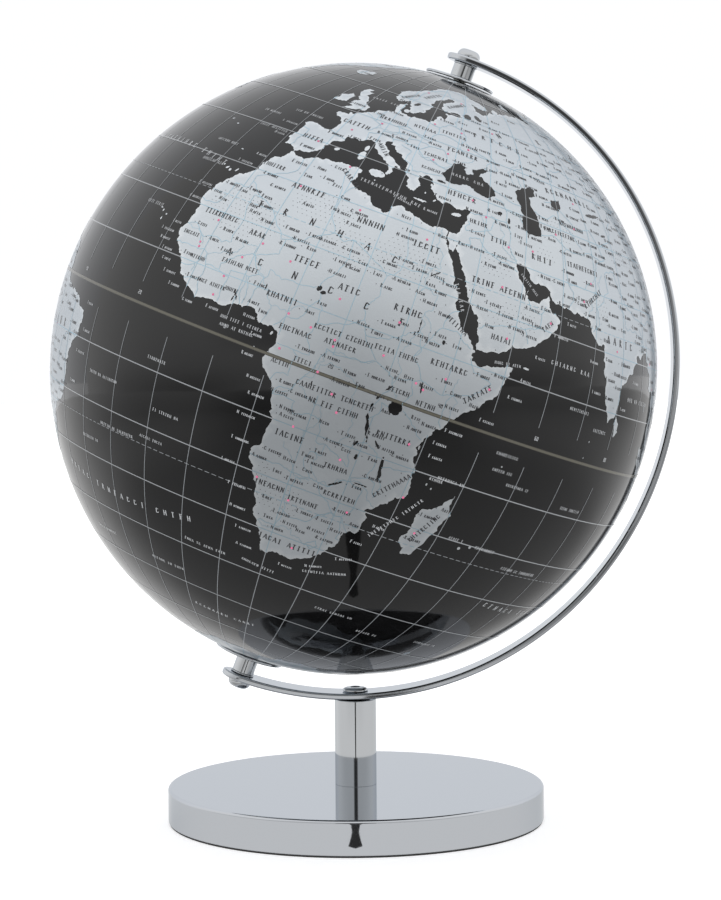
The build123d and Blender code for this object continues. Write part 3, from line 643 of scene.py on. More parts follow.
LAKES = rows_of("""33,-1.1,1.25,1.2,0 29.7,-5.9,2.55,0.3,-18 34.5,-11.9,2.35,0.33,-8 36.1,3.6,1,0.18,-8
13.6,13.4,0.55,0.4,30 14.5,12.9,0.5,0.3,70 -0.1,7.4,1,0.16,-30 -0.4,6.6,0.5,0.12,10 32.3,22.8,1,0.14,50
28,-16.9,1.3,0.2,55 30.9,1.7,0.75,0.16,40 29.6,-0.4,0.4,0.22,20 29.1,-2,0.45,0.2,10 28.8,-9,0.6,0.22,25
32.3,-8,0.8,0.16,-40 37.3,12,0.4,0.3,0 32.3,-15.6,1.2,0.14,90 32.4,13.2,1.3,0.1,0 4.6,10.4,0.6,0.12,0
18.2,-2,0.4,0.12,0 29.7,-11.2,0.5,0.3,0 75,46.2,2.4,0.35,80 107.5,53.3,3.2,0.35,42 31.5,60.9,0.9,0.7,0
35.5,61.7,1,0.5,-30 13.3,58.9,0.8,0.35,30 43,38.6,0.5,0.35,60 45.4,37.7,0.6,0.25,0 28.2,40.7,0.8,0.25,90
77.3,42.5,0.9,0.25,80 -87,43.8,2.6,0.8,5 -82.3,44.8,1.6,1,-30 -88,47.7,2.6,0.9,75 -81.2,42.2,1.6,0.35,70
-77.8,43.7,1.2,0.3,85 -121,66,1.5,1,60 -114,61.9,2,0.5,70 -98,52.5,2.2,0.6,-15 -69.4,-15.9,0.9,0.4,-50
100.5,51,0.7,0.2,0""", 5)
INLAND_SEAS = [
    "29,41.3 31.4,41.3 35,42 36.5,41.3 40,41 41.6,42 41.2,43.1 38.5,44.3 36.8,45.1 38,46.2 39.2,47.2 "
    "36.5,46.7 34.9,46.1 35.4,45 33.6,44.5 32.7,45.4 33.6,46 31.5,46.6 30.5,46 29.6,45.2 28.6,43.8 "
    "27.8,42.5",
    "54,37 51,36.7 49,37.6 49.4,40.2 48.5,41.9 47.5,43 47,44.7 49,46.2 51.2,47 53,46.8 53,45.3 51,44.5 "
    "51.3,43.1 52.6,41.7 53.5,40 53.9,38.5", "58.3,44.5 58.3,46 59.7,46.3 61.3,46.7 61.4,45.4 60.2,43.8"]


def toward(lonlat):
    """Directions from the ball's centre, in the ball's own frame: cos latitude times the turned longitude
    across, and sin latitude along the axis."""
    lon = np.radians(lonlat[..., 0] - face_longitude)
    lat = np.radians(lonlat[..., 1])
    return np.stack([np.cos(lat) * np.cos(lon), np.cos(lat) * np.sin(lon), np.sin(lat)], axis=-1)


def lonlat_of(ways):
    """Longitudes and latitudes of directions from the ball's centre."""
    lon = np.degrees(np.arctan2(ways[..., 1], ways[..., 0])) + face_longitude
    return np.stack([(lon + 180) % 360 - 180, np.degrees(np.arcsin(np.clip(ways[..., 2], -1, 1)))], axis=-1)


def ragged(ways, closed, wander, rounds, seed):
    """Each round puts a point at the middle of every side, moved sideways by a random share of the side."""
    chance = np.random.default_rng(seed)
    for _ in range(rounds):
        ahead = np.roll(ways, -1, axis=0) if closed else ways[1:]
        start = ways if closed else ways[:-1]
        middle = start + ahead
        middle /= np.linalg.norm(middle, axis=1, keepdims=True)
        sideways = np.cross(ahead - start, middle) * chance.normal(0, wander, (len(start), 1))
        middle = middle + np.clip(sideways, -0.012, 0.012)
        middle /= np.linalg.norm(middle, axis=1, keepdims=True)
        paired = np.stack([start, middle], axis=1).reshape(-1, 3)
        ways = paired if closed else np.concatenate([paired, ways[-1:]])
    return ways


def oval(lon, lat, long_half, short_half, heading):
    """An oval's outline as directions: its points turn evenly, in the plane that touches the ball there."""
    turn = np.linspace(0, 2 * math.pi, 14, endpoint=False)
    east = long_half * np.cos(turn) * math.sin(math.radians(heading))
    east += short_half * np.sin(turn) * math.cos(math.radians(heading))
    north_by = long_half * np.cos(turn) * math.cos(math.radians(heading))
    north_by -= short_half * np.sin(turn) * math.sin(math.radians(heading))
    return toward(np.stack([lon + east / math.cos(math.radians(lat)), lat + north_by], axis=-1))


def flat_map(ways, middle):
    """Equal-area map round a middle direction: the way's east and north parts, times
    sqrt(2 / (1 + its part along the middle))."""
    east = np.cross([0, 0, 1.0], middle) if abs(middle[2]) < 0.95 else np.array([1.0, 0, 0])
    east = east - middle * (east @ middle)
    east /= np.linalg.norm(east)
    ahead = np.cross(middle, east)
    grow = np.sqrt(2 / np.maximum(1 + ways @ middle, 1e-6))
    return np.stack([ways @ east * grow, ways @ ahead * grow], axis=-1), east, ahead


def off_map(flat, middle, east, ahead):
    """The directions that the equal-area map puts at these flat points."""
    square = np.sum(flat ** 2, axis=-1, keepdims=True)
    return middle * (1 - square / 2) + np.sqrt(1 - square / 4) * (flat[:, :1] * east + flat[:, 1:] * ahead)


def within(points, outline):
    """Which flat points lie inside a flat outline: those from which a line to the right crosses it an odd
    number of times."""
    inside = np.zeros(len(points), bool)
    low, high = outline.min(axis=0), outline.max(axis=0)
    near = np.flatnonzero(np.all((points > low) & (points < high), axis=1))
    first, last = outline, np.roll(outline, -1, axis=0)
    rise = last[:, 1] - first[:, 1]
    slope = (last[:, 0] - first[:, 0]) / np.where(np.abs(rise) < 1e-12, 1e-12, rise)
    for batch in np.array_split(near, len(near) // 1500 + 1):
        x, y = points[batch, 0, None], points[batch, 1, None]
        spans = (first[:, 1] > y) != (last[:, 1] > y)
        inside[batch] = np.sum(spans & (x < first[:, 0] + (y - first[:, 1]) * slope), axis=1) % 2 == 1
    return inside


def heart(ways):
    """The middle direction of an outline."""
    middle = ways.mean(axis=0)
    return middle / np.linalg.norm(middle)


def on_any(ways, outlines):
    """Which directions lie inside at least one of these outlines."""
    found = np.zeros(len(ways), bool)
    for outline in outlines:
        middle = heart(outline)
        found |= within(flat_map(ways, middle)[0], flat_map(outline, middle)[0])
    return found


def even_spread(spacing):
    """Directions spread evenly: equal steps of height, each turned a golden angle on from the last."""
    count = int(4 * math.pi * (ball_radius / spacing) ** 2)
    height = 1 - (2 * np.arange(count) + 1) / count
    turn = np.arange(count) * math.pi * (3 - math.sqrt(5))
    flat = np.sqrt(1 - height ** 2)
    return np.stack([flat * np.cos(turn), flat * np.sin(turn), height], axis=-1)


def on_ball(name, ways, faces, radius, finish, rim=None):
    """A thin printed layer: points at one radius in the ball's own frame, shaded as the ball itself is."""
    piece = mesh_piece(name, ball_north(ways * radius * MM), faces, sharp=0)
    used = np.unique(np.concatenate([f.ravel() for f in faces]))
    normals = ways[used] / stretch @ np.stack([uphill, across, tilt_axis])
    normals /= np.linalg.norm(normals, axis=1, keepdims=True)
    if rim is not None:
        piece.data.attributes.new("inland", "FLOAT", "POINT").data.foreach_set("value", rim[used])
    piece.data.normals_split_custom_set_from_vertices(normals.tolist())
    fit(piece, finish, "globe", "printed_ball")
    return piece


def patch(outline, spread):
    """A patch inside an outline: the outline's points and the evenly spread ones within it, joined into
    triangles on the equal-area map."""
    middle = heart(outline)
    flat, east, ahead = flat_map(outline, middle)
    inner_flat = flat_map(spread, middle)[0]
    inner_flat = inner_flat[within(inner_flat, flat)]
    corners = [Vector(p) for p in np.concatenate([flat, inner_flat]).tolist()]
    edge = list(range(len(flat)))
    points, _, triangles, origins, _, _ = geometry.delaunay_2d_cdt(corners, [], [edge], 1, 1e-9)
    points = np.array([tuple(p) for p in points])
    inland = np.array([bool(o) and min(o) >= len(flat) for o in origins], float)
    return off_map(points, middle, east, ahead), np.array(triangles), inland


def patches(name, outlines, spacing, radius, finish):
    """Many patches as one printed piece, every face turned outwards."""
    spread = even_spread(spacing)
    ways, faces, inland, count = [], [], [], 0
    for outline in outlines:
        points, triangles, deep = patch(outline, spread)
        corner = points[triangles]
        across_face = np.cross(corner[:, 1] - corner[:, 0], corner[:, 2] - corner[:, 0])
        outward = np.sum(across_face * corner[:, 0], axis=1)
        triangles[outward < 0] = triangles[outward < 0][:, ::-1]
        ways.append(points)
        faces.append(triangles + count)
        inland.append(deep)
        count += len(points)
    ways, faces, inland = np.concatenate(ways), np.concatenate(faces), np.concatenate(inland)
    return on_ball(name, ways, [faces], radius, finish, inland)


silver, shader, place = new_finish("land_silver_film", Metallic=1.0, Coat_Weight=0.5, Coat_Roughness=0.06,
                                   Specular_Tint=(0.42, 0.44, 0.46, 1))
shore = place.node("ShaderNodeAttribute", {"attribute_name": "inland"}, {}, output=2)
cloud = place.noise(34, 4, 0.6)
relief = place.noise(150, 5, 0.65)
tone = (0.75 * cloud + 0.25 * relief).between((0.585, 0.628, 0.666, 1), (0.690, 0.728, 0.758, 1))
wire(shader, Base_Color=shore.between((0.74, 0.775, 0.80, 1), tone),
     Roughness=0.44 + 0.10 * relief, Normal=(relief + 0.4 * place.noise(1800, 2)).bump(0.000018))


def coasts(texts, wander, seed, closed=True, rounds=3):
    """Written outlines made ragged, each from a seed of its own."""
    return [ragged(toward(rows_of(text)), closed, wander, rounds, seed + number)
            for number, text in enumerate(texts)]


def ovals(rows, wander, seed):
    """Written ovals made ragged, each from a seed of its own."""
    return [ragged(oval(*sizes), True, wander, 1, seed + number) for number, sizes in enumerate(rows)]


continents = coasts((AFRICA, EURASIA, AMERICAS, ANTARCTICA, AUSTRALIA), 0.13, 0)
islands = coasts(ISLANDS, 0.12, 20)
islets = ovals(SMALL_ISLANDS, 0.15, 60)
lakes = ovals(LAKES, 0.16, 120)
seas = coasts(INLAND_SEAS, 0.10, 180)
patches("land_film", continents + islands + islets, patch_spacing, land_radius, silver)
patches("lake_film", lakes + seas, patch_spacing, lake_radius, sea_ink)


# ---- The map's lines: the grid every ten degrees, white on the sea and pale blue on the land, the
# dashed tropics and polar circles, borders, rivers, and the khaki band over the joint at the equator.
line_radius, river_radius, border_radius, band_edge_radius = 124.99, 124.991, 124.992, 124.994
grid_step = 10
first_latitude = 3.6
circle_latitudes = (-66.56, -23.44, 23.44, 66.56)
dash_length, dash_and_gap = 2, 3
land_outlines = continents + islands + islets
water_outlines = lakes + seas
BORDERS = """-2,35.1 -1.5,32.5 -3.5,31 -8.7,28.7 -8.7,26 -12,26 -12,23.5 -13,21.3 -17,21.3 | -8.7,27.4
-4.8,25 1.2,21.1 3.2,19.1 5.8,19.5 12,23.5 | -4.8,25 -6.5,25 -5.5,15.5 -9.3,15.5 -12.2,14.8 | -16.5,16
-14.5,16.6 -12.2,14.8 -11.4,12.4 -13.7,12.6 -16.7,12.4 | 8.3,36.9 8.2,34.5 9.1,32.1 9.5,30.2 9.9,26.5
12,23.5 | 11.5,33.1 10.3,31.8 9.5,30.2 | 12,23.5 14.2,22.6 15.9,23.4 24,19.5 25,20 25,31.6 | 25,22 36.9,22
| 24,19.5 24,15.7 22.2,13 22.9,11 | 15.9,23.4 15.5,17 13.5,13.7 9.5,12.8 4,13.5 3.6,11.7 | 4.2,19.2
4.2,16.5 0.2,14.9 2.4,12 3.6,11.7 | 2.7,6.3 2.8,9 3.6,11.7 | 1.6,6.3 0.9,11 2.4,12 | 1.2,6.1 0.5,8 0.3,11
0.9,11 | -3,5.1 -2.8,9.5 -2.9,11 0.3,11.1 | 0.2,14.9 -3,13.7 -5.4,11.5 -5.3,10.3 -2.8,9.7 | -11.4,12.4
-9,12.3 -8.2,10.3 -6,10.3 -5.3,10.3 | -8.2,10.3 -7.9,8.5 -8.5,7.5 -11.4,6.9 | -8.4,7.5 -7.5,5.8 -7.5,4.4 |
-13.3,9.1 -10.5,9.8 -10.5,8.4 | 8.5,4.8 10,7 12,7.2 13.2,10 14.4,11.5 14.1,13 | 14.4,11.5 15.5,10 15.5,7.5
14.5,5 16.2,2.2 13.3,2.2 9.8,2.3 | 15.5,7.5 19,9 22.9,11 24,8.7 27.4,5.1 22.5,4.1 18.6,4.3 18.6,3.5
17.7,0.5 16.2,-2 15.3,-4.3 13,-4.6 12.4,-5.8 | 13.3,2.2 14.4,1.3 14,-2.2 12,-2.4 11.2,-3.9 | 12.4,-6
16.6,-5.9 17,-8 19.5,-7 21.8,-7.3 22.2,-11 24,-11 24,-13 22,-13 22,-16.2 23.4,-17.6 | 11.8,-17.2 14,-17.4
18.5,-17.4 23.4,-17.6 25.2,-17.8 26,-19.6 29.4,-22.2 31.3,-22.4 32,-24.5 32,-26.8 32.8,-26.9 | 24,-11
26.5,-12 29,-13.4 28.5,-9.3 30.7,-8.3 | 29.2,-3.3 29,-2.7 29.6,-1.4 31.2,2.2 30.8,3.5 27.4,5.1 | 30.8,3.5
34,4.2 35.9,4.6 39.5,3.5 42,4.2 41,2.8 41,-1 41.6,-1.7 | 24,8.7 28,9.3 32,12 33.2,12.2 34,9.5 33,8
35.9,4.6 | 38.6,18 36.9,17 36.4,14.3 34.3,10.6 33,8 | 36.4,14.3 39,14.6 42.4,12.5 | 42.8,11 44,9 47.9,8
45,4.9 42,4.2 | 33.9,-1 37.7,-3.5 39.2,-4.7 | 34,4.2 35,1.9 33.9,0 33.9,-1 30.5,-1 30.8,-2.4 29.4,-4.5 |
31,-8.6 32.9,-9.4 33.2,-12.5 32.7,-13.7 34.5,-14.5 35.3,-17.1 35.8,-15 34.6,-11.5 40.4,-10.5 | 33,-14
30.2,-15 30.4,-15.7 33,-16.5 32.8,-19.5 32.5,-21.3 31.3,-22.4 | 30.4,-15.7 28.8,-16 27,-17.9 25.2,-17.8 |
23.4,-18 21,-18.3 21,-22 20,-22 20,-28.4 17,-28.2 16.5,-28.6 | 20,-24.8 22,-25.8 25.6,-25.6 27,-23.7
29.4,-22.2 | 27,-29.7 28.6,-28.6 29.4,-29.6 28,-30.6 27,-29.7 | -1.8,43.4 3.1,42.4 | -7.4,37.2 -7,39.5
-6.5,41.8 -8.8,42 | 7.5,43.8 7,46 9,46.5 12,47 13.6,46.5 13.6,45.7 | 2.5,51 5.8,49.6 8,49 7.6,47.6 6,46.3
| 7,53.2 6,51 6.2,49.6 | 14.2,53.9 14.8,51 12.3,50.3 13.8,48.7 13,47.6 9.6,47.5 | 14.8,51 18.8,49.6
22.6,49.2 23.6,52 23.5,54 19.9,54.4 | 13.8,48.7 17,48.8 17,47.8 16.2,46.8 13.6,46.5 | 17,48 22,48.2
22.8,47.9 20.3,46.2 16.5,46.5 | 16,45.8 19,45 18.5,42.5 20.5,41.9 21,40.8 23,41.3 26.3,41.7 28,42 |
20.3,46.2 22.7,44.5 28.6,43.8 | 22.8,47.9 26.8,48.2 28.2,45.5 29.6,45.4 | 23.5,54 26,56 28,56 27.5,57.5
28,59.5 | 23.6,52 30.5,51.4 32,53 31,55.5 28,56 | 32,52.2 35,51 40,49.6 38.2,47.1 | 29.5,60.7 31,62.8
29.5,67.7 28.5,69.5 | 24.2,65.8 20.6,69 14.5,66.5 12,63.5 12.2,61 11.2,59 | 36,36.5 38,36.8 42.4,37.1
44.8,37.2 44.5,39.8 43.5,41.1 41.5,41.5 | 44.8,37.2 46,35.5 46,33 48,30.5 | 42.4,37.1 41.2,34.5 38.8,33.4
36,32.7 35.6,33.3 36.5,34.2 35.9,34.7 | 35,29.6 37.5,30.3 37,31.5 39.2,32.1 44.7,29.2 46.5,29.1 48.4,28.5
| 51.4,24.5 52.5,22.9 55.2,22.7 55.8,24.2 | 55.2,22.7 55,20 52,19 49,18.6 44,17.4 42.8,16.4 | 52,19
53.1,16.7 | 44.5,39.8 48,39.5 48.9,38.4 | 40,43.4 44,42.6 46.5,41.8 48.5,41.8 | 53.9,37.3 57,38.2
61.2,36.5 60.6,34 61,31.5 61.7,29.5 63,27.2 61.6,25.2 | 61.7,29.8 66.3,29.9 69.3,32 71.3,36 74.8,37.2 |
69,22.8 71,24.5 70,27.5 74.5,31 74,34.5 77.8,35.5 79,32.5 | 61.2,36.5 64.5,36.4 67.8,37.2 71.3,37
74.8,37.2 73.5,39.5 80.2,42 82.5,45.5 87.3,49.2 | 52.5,42 56,41.2 58.5,42.7 62,41 66.5,37.6 | 56,45
58.6,45.6 66,41.5 71,42.5 73.5,39.5 | 49,46.3 47,49.5 51,51.5 61,50.8 62,54 71,54 77,54 80,51 87.3,49.2
98,50.5 107,49.3 116,49.8 120,53 127,50 131,47.8 135,48.4 131,45 130.7,42.4 | 87.3,49.2 91,45 96,42.8
105,41.6 111,43.5 119,47 116,49.8 | 79,32.5 81.3,30.2 88,27.9 92,27.5 97,28.3 98,24 101,21.6 107.9,21.6 |
88,26.5 89,25.3 88.9,22 | 92,25 92.5,21 | 98,24 98.5,17 98.8,12 99.2,10.5 | 101,21.6 100.5,19.5 101,17.5
105,16.5 105.5,14.4 102.5,13.6 102.9,11.8 | 102,22 104.8,19 107.5,15.5 107.5,12.3 104.6,10.5 | -51.6,4
-54.5,2.3 -60,4.5 -61,9 | -60,4.5 -64,4 -67,1.2 -70,1 -70,-4.2 -73.5,-7.5 -70.5,-9.5 -65.3,-10.5 -60,-14
-58,-20 -55.7,-22.3 -54.5,-25.6 -57.6,-30.2 -58,-33.8 | -57.6,-30.2 -53.5,-33.6 | -70,1 -75,-0.2 -78.8,1.4
| -72,11.8 -72.4,7.4 -67.5,6 -67,1.2 | -75,-0.2 -78.4,-4 -80.3,-3.6 | -70.3,-18.3 -69.3,-16 -70.5,-9.5 |
-69.5,-17.5 -68,-22.5 -69.8,-33.5 -71.7,-40 -72.2,-50 -68.6,-52.3 | -68,-22.5 -62.8,-22 -58,-20 |
-62.8,-22 -57.8,-25 -57,-27.3 -54.6,-25.6 | -117.3,32.5 -111,31.4 -106.5,31.8 -101.5,29.7 -97.3,25.9 |
-122.8,49 -95,49 -89,48 -83,46 -82.5,42.5 -75,45 -70,46.5 -67,45 | -141,69.6 -141,60.3 -130,55.5 |
-92,14.5 -91,17.8 -88.3,18.4 | 129,-14.9 129,-31.6 | 138,-16.8 138,-26 141,-26 141,-38 | 129,-26 138,-26 |
141,-29 149,-29 153.3,-28.3"""
RIVERS = """31.2,31.4 31.2,30 30.8,28 32.7,26 32.9,24 31,21.8 30.5,19 33.9,19.4 33.8,17.5 32.5,15.6
32.6,12 31.6,9.5 30.5,7 31.6,4 31.3,2 32.5,0.4 | 32.5,15.6 34.5,11.7 37,11.5 | 6.2,4.5 6.7,6.2 6.8,7.8
4.6,10.5 3.6,11.7 1,14 0,16.3 -3,16.8 -5.5,13.8 -8,12.6 -10.5,9.7 | 6.8,7.8 10,8 13.5,9.3 | 12.4,-6
15.3,-4.3 16.5,-1.5 18.5,1.5 22,2.1 25,0.5 26,-4 27.3,-8 26,-10.5 | 16.3,-3.2 20.5,-5 21.5,-8 19.5,-11.5 |
17.8,-0.3 18.6,4 22.5,4.1 27,5 | 36.2,-18.8 34,-16.8 30.5,-15.6 27,-18 25,-17.8 23,-15.5 22.5,-12 |
16.5,-28.6 20,-28.5 24.5,-29 28.5,-30 | 33.5,-25 31.3,-22.4 27,-23.8 | -16.5,16 -13,15.5 -11,13.5 | 17,-13
20.5,-18 22.5,-19 | 42.6,-0.3 42,4.2 42,7 | 48,30.2 44.5,32 40.5,34.5 38,36.8 | 48,30.4 46,32.8 43.5,36
41,37.5 | 67.5,24.2 68.5,27.5 71,30 72.5,34 | 90.5,22.5 88,25 82,25.3 78.3,29.5 | 48,46 45,48.7 49.5,53.3
49,55.8 44,56.3 38,57 | 29.6,45.2 27,44 22,44.6 19,47 13.5,48.6 9,48 | 39.2,47.2 42,48 39,52.5 | 32,46.5
35,48.5 30.5,50.5 31,54 | 4.5,51.9 6.8,51 8.3,49 7.8,47.6 | 66.5,66.5 69,61 73,57 83,53 | 82,71.5 87,65
92,58 | 127,72.5 126,64 118,60 108,54 | 121,31.8 112,30 106,29.5 99,28 92,33.5 | 118.5,37.8 114,35
110.5,39 104,37 97,35 | 106.5,10 105,16 101,21 96,31 | 141,53 136,48.5 127,50 | -50,-0.5 -55,-2.2 -60,-3.2
-70,-4 -75,-4.5 | -36.4,-10.5 -40,-9.2 -43.5,-12 -44.5,-17 | -58.4,-34 -60.5,-31.5 -58.6,-27.3 -54.6,-25.5
-53,-21 | -89.3,29.5 -91,35 -90.5,40 -94.5,47 | -90.3,39 -97,42.5 -104,48 -111,46 | -135,69 -128,65
-115,61 | 139.5,-35.5 141.5,-34 147,-36"""


def ribbons(name, lines, width, finish, kept=None, radius=line_radius):
    """Printed lines: each point of a line steps half the width to either side, square to the way the
    line runs there. A test on the middles of the steps says which of them are printed."""
    run = [np.gradient(line, axis=0) for line in lines]
    start = np.concatenate([np.append(np.ones(len(line) - 1, bool), False) for line in lines])
    points, run = np.concatenate(lines), np.concatenate(run)
    side = np.cross(points, run)
    side /= np.linalg.norm(side, axis=1, keepdims=True)
    wide = np.asarray(width) / 2 / ball_radius
    left, right = points + side * wide, points - side * wide
    first = np.flatnonzero(start)
    if kept is not None:
        middle = points[first] + points[first + 1]
        first = first[kept(middle / np.linalg.norm(middle, axis=1, keepdims=True), first)]
    ways = np.concatenate([left, right])
    ways /= np.linalg.norm(ways, axis=1, keepdims=True)
    faces = np.stack([first, first + len(points), first + len(points) + 1, first + 1], axis=-1)
    return on_ball(name, ways, [faces], radius, finish)


def ink_finish(name, colour, roughness=0.3):
    """Printing ink under the film: an even colour, its shine broken a little by the paper."""
    finish, shader, place = new_finish(name, Base_Color=(*colour, 1), Coat_Weight=0.7, Coat_Roughness=0.05,
                                       Specular_IOR_Level=0.3)
    wire(shader, Roughness=roughness + 0.15 * place.noise(600, 3), Normal=place.noise(900, 2).bump(0.000008))
    return finish


white_ink = ink_finish("white_ink", (0.41, 0.42, 0.43))
line_ink = ink_finish("line_ink", (0.26, 0.27, 0.28))
thin_line_ink = ink_finish("thin_line_ink", (0.20, 0.21, 0.22))
black_ink = ink_finish("black_ink", (0.014, 0.014, 0.018))
khaki_ink = ink_finish("khaki_ink", (0.090, 0.084, 0.062))
olive_ink = ink_finish("olive_ink", (0.030, 0.027, 0.019))
pink_ink = ink_finish("pink_ink", (0.66, 0.14, 0.27))
blue_film, shader, place = new_finish("pale_blue_film", Metallic=1.0, Base_Color=(0.42, 0.60, 0.70, 1),
                                      Specular_Tint=(0.62, 0.64, 0.66, 1), Coat_Weight=0.5,
                                      Coat_Roughness=0.06)
wire(shader, Roughness=0.40 + 0.1 * place.noise(300, 3), Normal=place.noise(900, 2).bump(0.000008))

step = 0.5
all_round = np.arange(-180, 180 + step, step)


def circle_at(lat):
    """The circle of one latitude, all the way round."""
    return toward(np.stack([all_round, 0 * all_round + lat], axis=-1))


parallels = [circle_at(lat) for lat in range(-80, 90, grid_step) if lat]
half_way = np.arange(first_latitude, 80 + step, step)
meridians = [toward(np.stack([0 * half_way + lon, sign * half_way], axis=-1))
             for lon in range(-180, 180, grid_step) for sign in (1, -1)]


def on_sea(ways, _=None):
    """Which directions lie on the sea, a lake or an inland sea."""
    return ~on_any(ways, land_outlines) | on_any(ways, water_outlines)


def on_land(ways, _=None):
    """Which directions lie on dry land."""
    return ~on_sea(ways)


ribbons("sea_parallels", parallels, 0.42, line_ink, on_sea)
ribbons("sea_meridians", meridians, 0.30, thin_line_ink, on_sea)
ribbons("land_grid", parallels + meridians, 0.26, blue_film, on_land)
circles = [circle_at(lat) for lat in circle_latitudes]
ribbons("dashed_circles_sea", circles, 0.28, thin_line_ink,
        lambda ways, at: on_sea(ways) & (at % dash_and_gap < dash_length))
ribbons("dashed_circles_land", circles, 0.26, blue_film,
        lambda ways, at: on_land(ways) & (at % dash_and_gap < dash_length))
ribbons("equator_band", [circle_at(0)], 1.0, khaki_ink)
ribbons("equator_band_edges", [circle_at(-0.24), circle_at(0.24)], 0.20, olive_ink, radius=band_edge_radius)

borders = coasts(BORDERS.split("|"), 0.07, 300, closed=False)
rivers = coasts(RIVERS.split("|"), 0.16, 500, closed=False, rounds=4)
ribbons("borders", borders, 0.24, blue_film, on_land, radius=border_radius)
ribbons("rivers", rivers, 0.17, blue_film, on_land, radius=river_radius)


# ---- The map's lettering: simple letter shapes in chance order, which stand for place names and say
# nothing, the degrees along the equator in real figures, dots for towns, fine dots over the deserts.
letter_radius, capital_radius, desert_radius = 124.996, 124.998, 124.988
stroke_weight = 1.35
letter_width, figure_width, small_letter = 1.3, 1.0, 0.7
LETTERS = [
    [(0.2, 0, 0.2, 1, 0.15), (0.05, 0.97, 0.5, 0.97, 0.07), (0.05, 0.03, 0.36, 0.03, 0.07),
     (0.2, 0.52, 0.42, 0.52, 0.07)],
    [(0.06, 0, 0.3, 1, 0.08), (0.3, 1, 0.52, 0, 0.14), (0.14, 0.34, 0.44, 0.34, 0.06)],
    [(0.12, 0, 0.12, 1, 0.13), (0.46, 0, 0.46, 1, 0.1), (0.12, 0.95, 0.46, 0.05, 0.11)],
    [(0.14, 0.1, 0.14, 0.9, 0.14), (0.14, 0.93, 0.48, 0.8, 0.09), (0.14, 0.07, 0.48, 0.2, 0.09),
     (0.48, 0.2, 0.48, 0.34, 0.08)],
    [(0.28, 0, 0.28, 1, 0.15), (0.08, 0.96, 0.5, 0.96, 0.08), (0.16, 0.03, 0.42, 0.03, 0.06)],
    [(0.12, 0, 0.12, 1, 0.14), (0.46, 0, 0.46, 1, 0.14), (0.12, 0.5, 0.46, 0.5, 0.07)],
    [(0.16, 0, 0.16, 1, 0.14), (0.16, 0.95, 0.44, 0.78, 0.09), (0.44, 0.78, 0.18, 0.52, 0.09),
     (0.22, 0.5, 0.5, 0, 0.12)],
    [(0.28, 0, 0.28, 1, 0.15), (0.16, 0.97, 0.4, 0.97, 0.06), (0.16, 0.03, 0.4, 0.03, 0.06)]]
FIGURE_BARS = {"top": (0.08, 0.95, 0.5, 0.95, 0.11), "middle": (0.08, 0.5, 0.5, 0.5, 0.11),
               "foot": (0.08, 0.05, 0.5, 0.05, 0.11), "high left": (0.1, 0.5, 0.1, 1, 0.12),
               "high right": (0.48, 0.5, 0.48, 1, 0.12), "low left": (0.1, 0, 0.1, 0.5, 0.12),
               "low right": (0.48, 0, 0.48, 0.5, 0.12)}
FIGURES = {
    "0": "top,foot,high left,high right,low left,low right", "1": "high right,low right",
    "2": "top,middle,foot,high right,low left", "3": "top,middle,foot,high right,low right",
    "4": "middle,high left,high right,low right", "5": "top,middle,foot,high left,low right",
    "6": "top,middle,foot,high left,low left,low right", "7": "top,high right,low right",
    "8": "top,middle,foot,high left,high right,low left,low right",
    "9": "top,middle,foot,high left,high right,low right"}


def lettering(name, labels, finish, seed, radius=letter_radius):
    """Printed marks: each stroke is a bar from one end to the other, half its thickness to either side,
    laid on the plane that touches the ball at its label and drawn in to the ball. An x in a label's text
    is one of the marks, chosen by chance, an o a smaller one, a figure is itself, and a space stays open."""
    chance = np.random.default_rng(seed)
    strokes, centre, slant, size = [], [], [], []
    for lon, lat, turn, height, gap, text in labels:
        for number, letter in enumerate(text):
            if letter == " ":
                continue
            mark, wide = LETTERS[chance.integers(len(LETTERS))], letter_width
            tall = small_letter if letter == "o" else 1.0
            if letter in FIGURES:
                mark, wide = [FIGURE_BARS[bar] for bar in FIGURES[letter].split(",")], figure_width
            shift = (number - (len(text) - 1) / 2) * (0.60 * (tall if "o" in text else 1) * wide + gap) - 0.3
            strokes += [(a * tall * wide + shift, b * tall - 0.5, c * tall * wide + shift, d * tall - 0.5,
                         thick * stroke_weight) for a, b, c, d, thick in mark]
            centre += [(lon, lat)] * len(mark)
            slant += [turn] * len(mark)
            size += [height] * len(mark)
    strokes, slant = np.array(strokes), np.radians(np.array(slant))[:, None]
    size = np.array(size)[:, None] / ball_radius
    first, last = strokes[:, 0:2] * size, strokes[:, 2:4] * size
    run = last - first
    side = np.stack([-run[:, 1], run[:, 0]], axis=-1) / np.linalg.norm(run, axis=1, keepdims=True)
    side = side * strokes[:, 4:5] * size / 2
    corner = np.stack([first - side, last - side, last + side, first + side], axis=1)
    east_by = corner[..., 0] * np.cos(slant) - corner[..., 1] * np.sin(slant)
    north_by = corner[..., 0] * np.sin(slant) + corner[..., 1] * np.cos(slant)
    middle = toward(np.array(centre))
    east = np.cross([0, 0, 1.0], middle)
    east /= np.linalg.norm(east, axis=1, keepdims=True)
    ahead = np.cross(middle, east)
    ways = middle[:, None] + east_by[..., None] * east[:, None] + north_by[..., None] * ahead[:, None]
    ways /= np.linalg.norm(ways, axis=-1, keepdims=True)
    faces = np.arange(len(ways) * 4).reshape(-1, 4)
    return on_ball(name, ways.reshape(-1, 3), [faces], radius, finish)


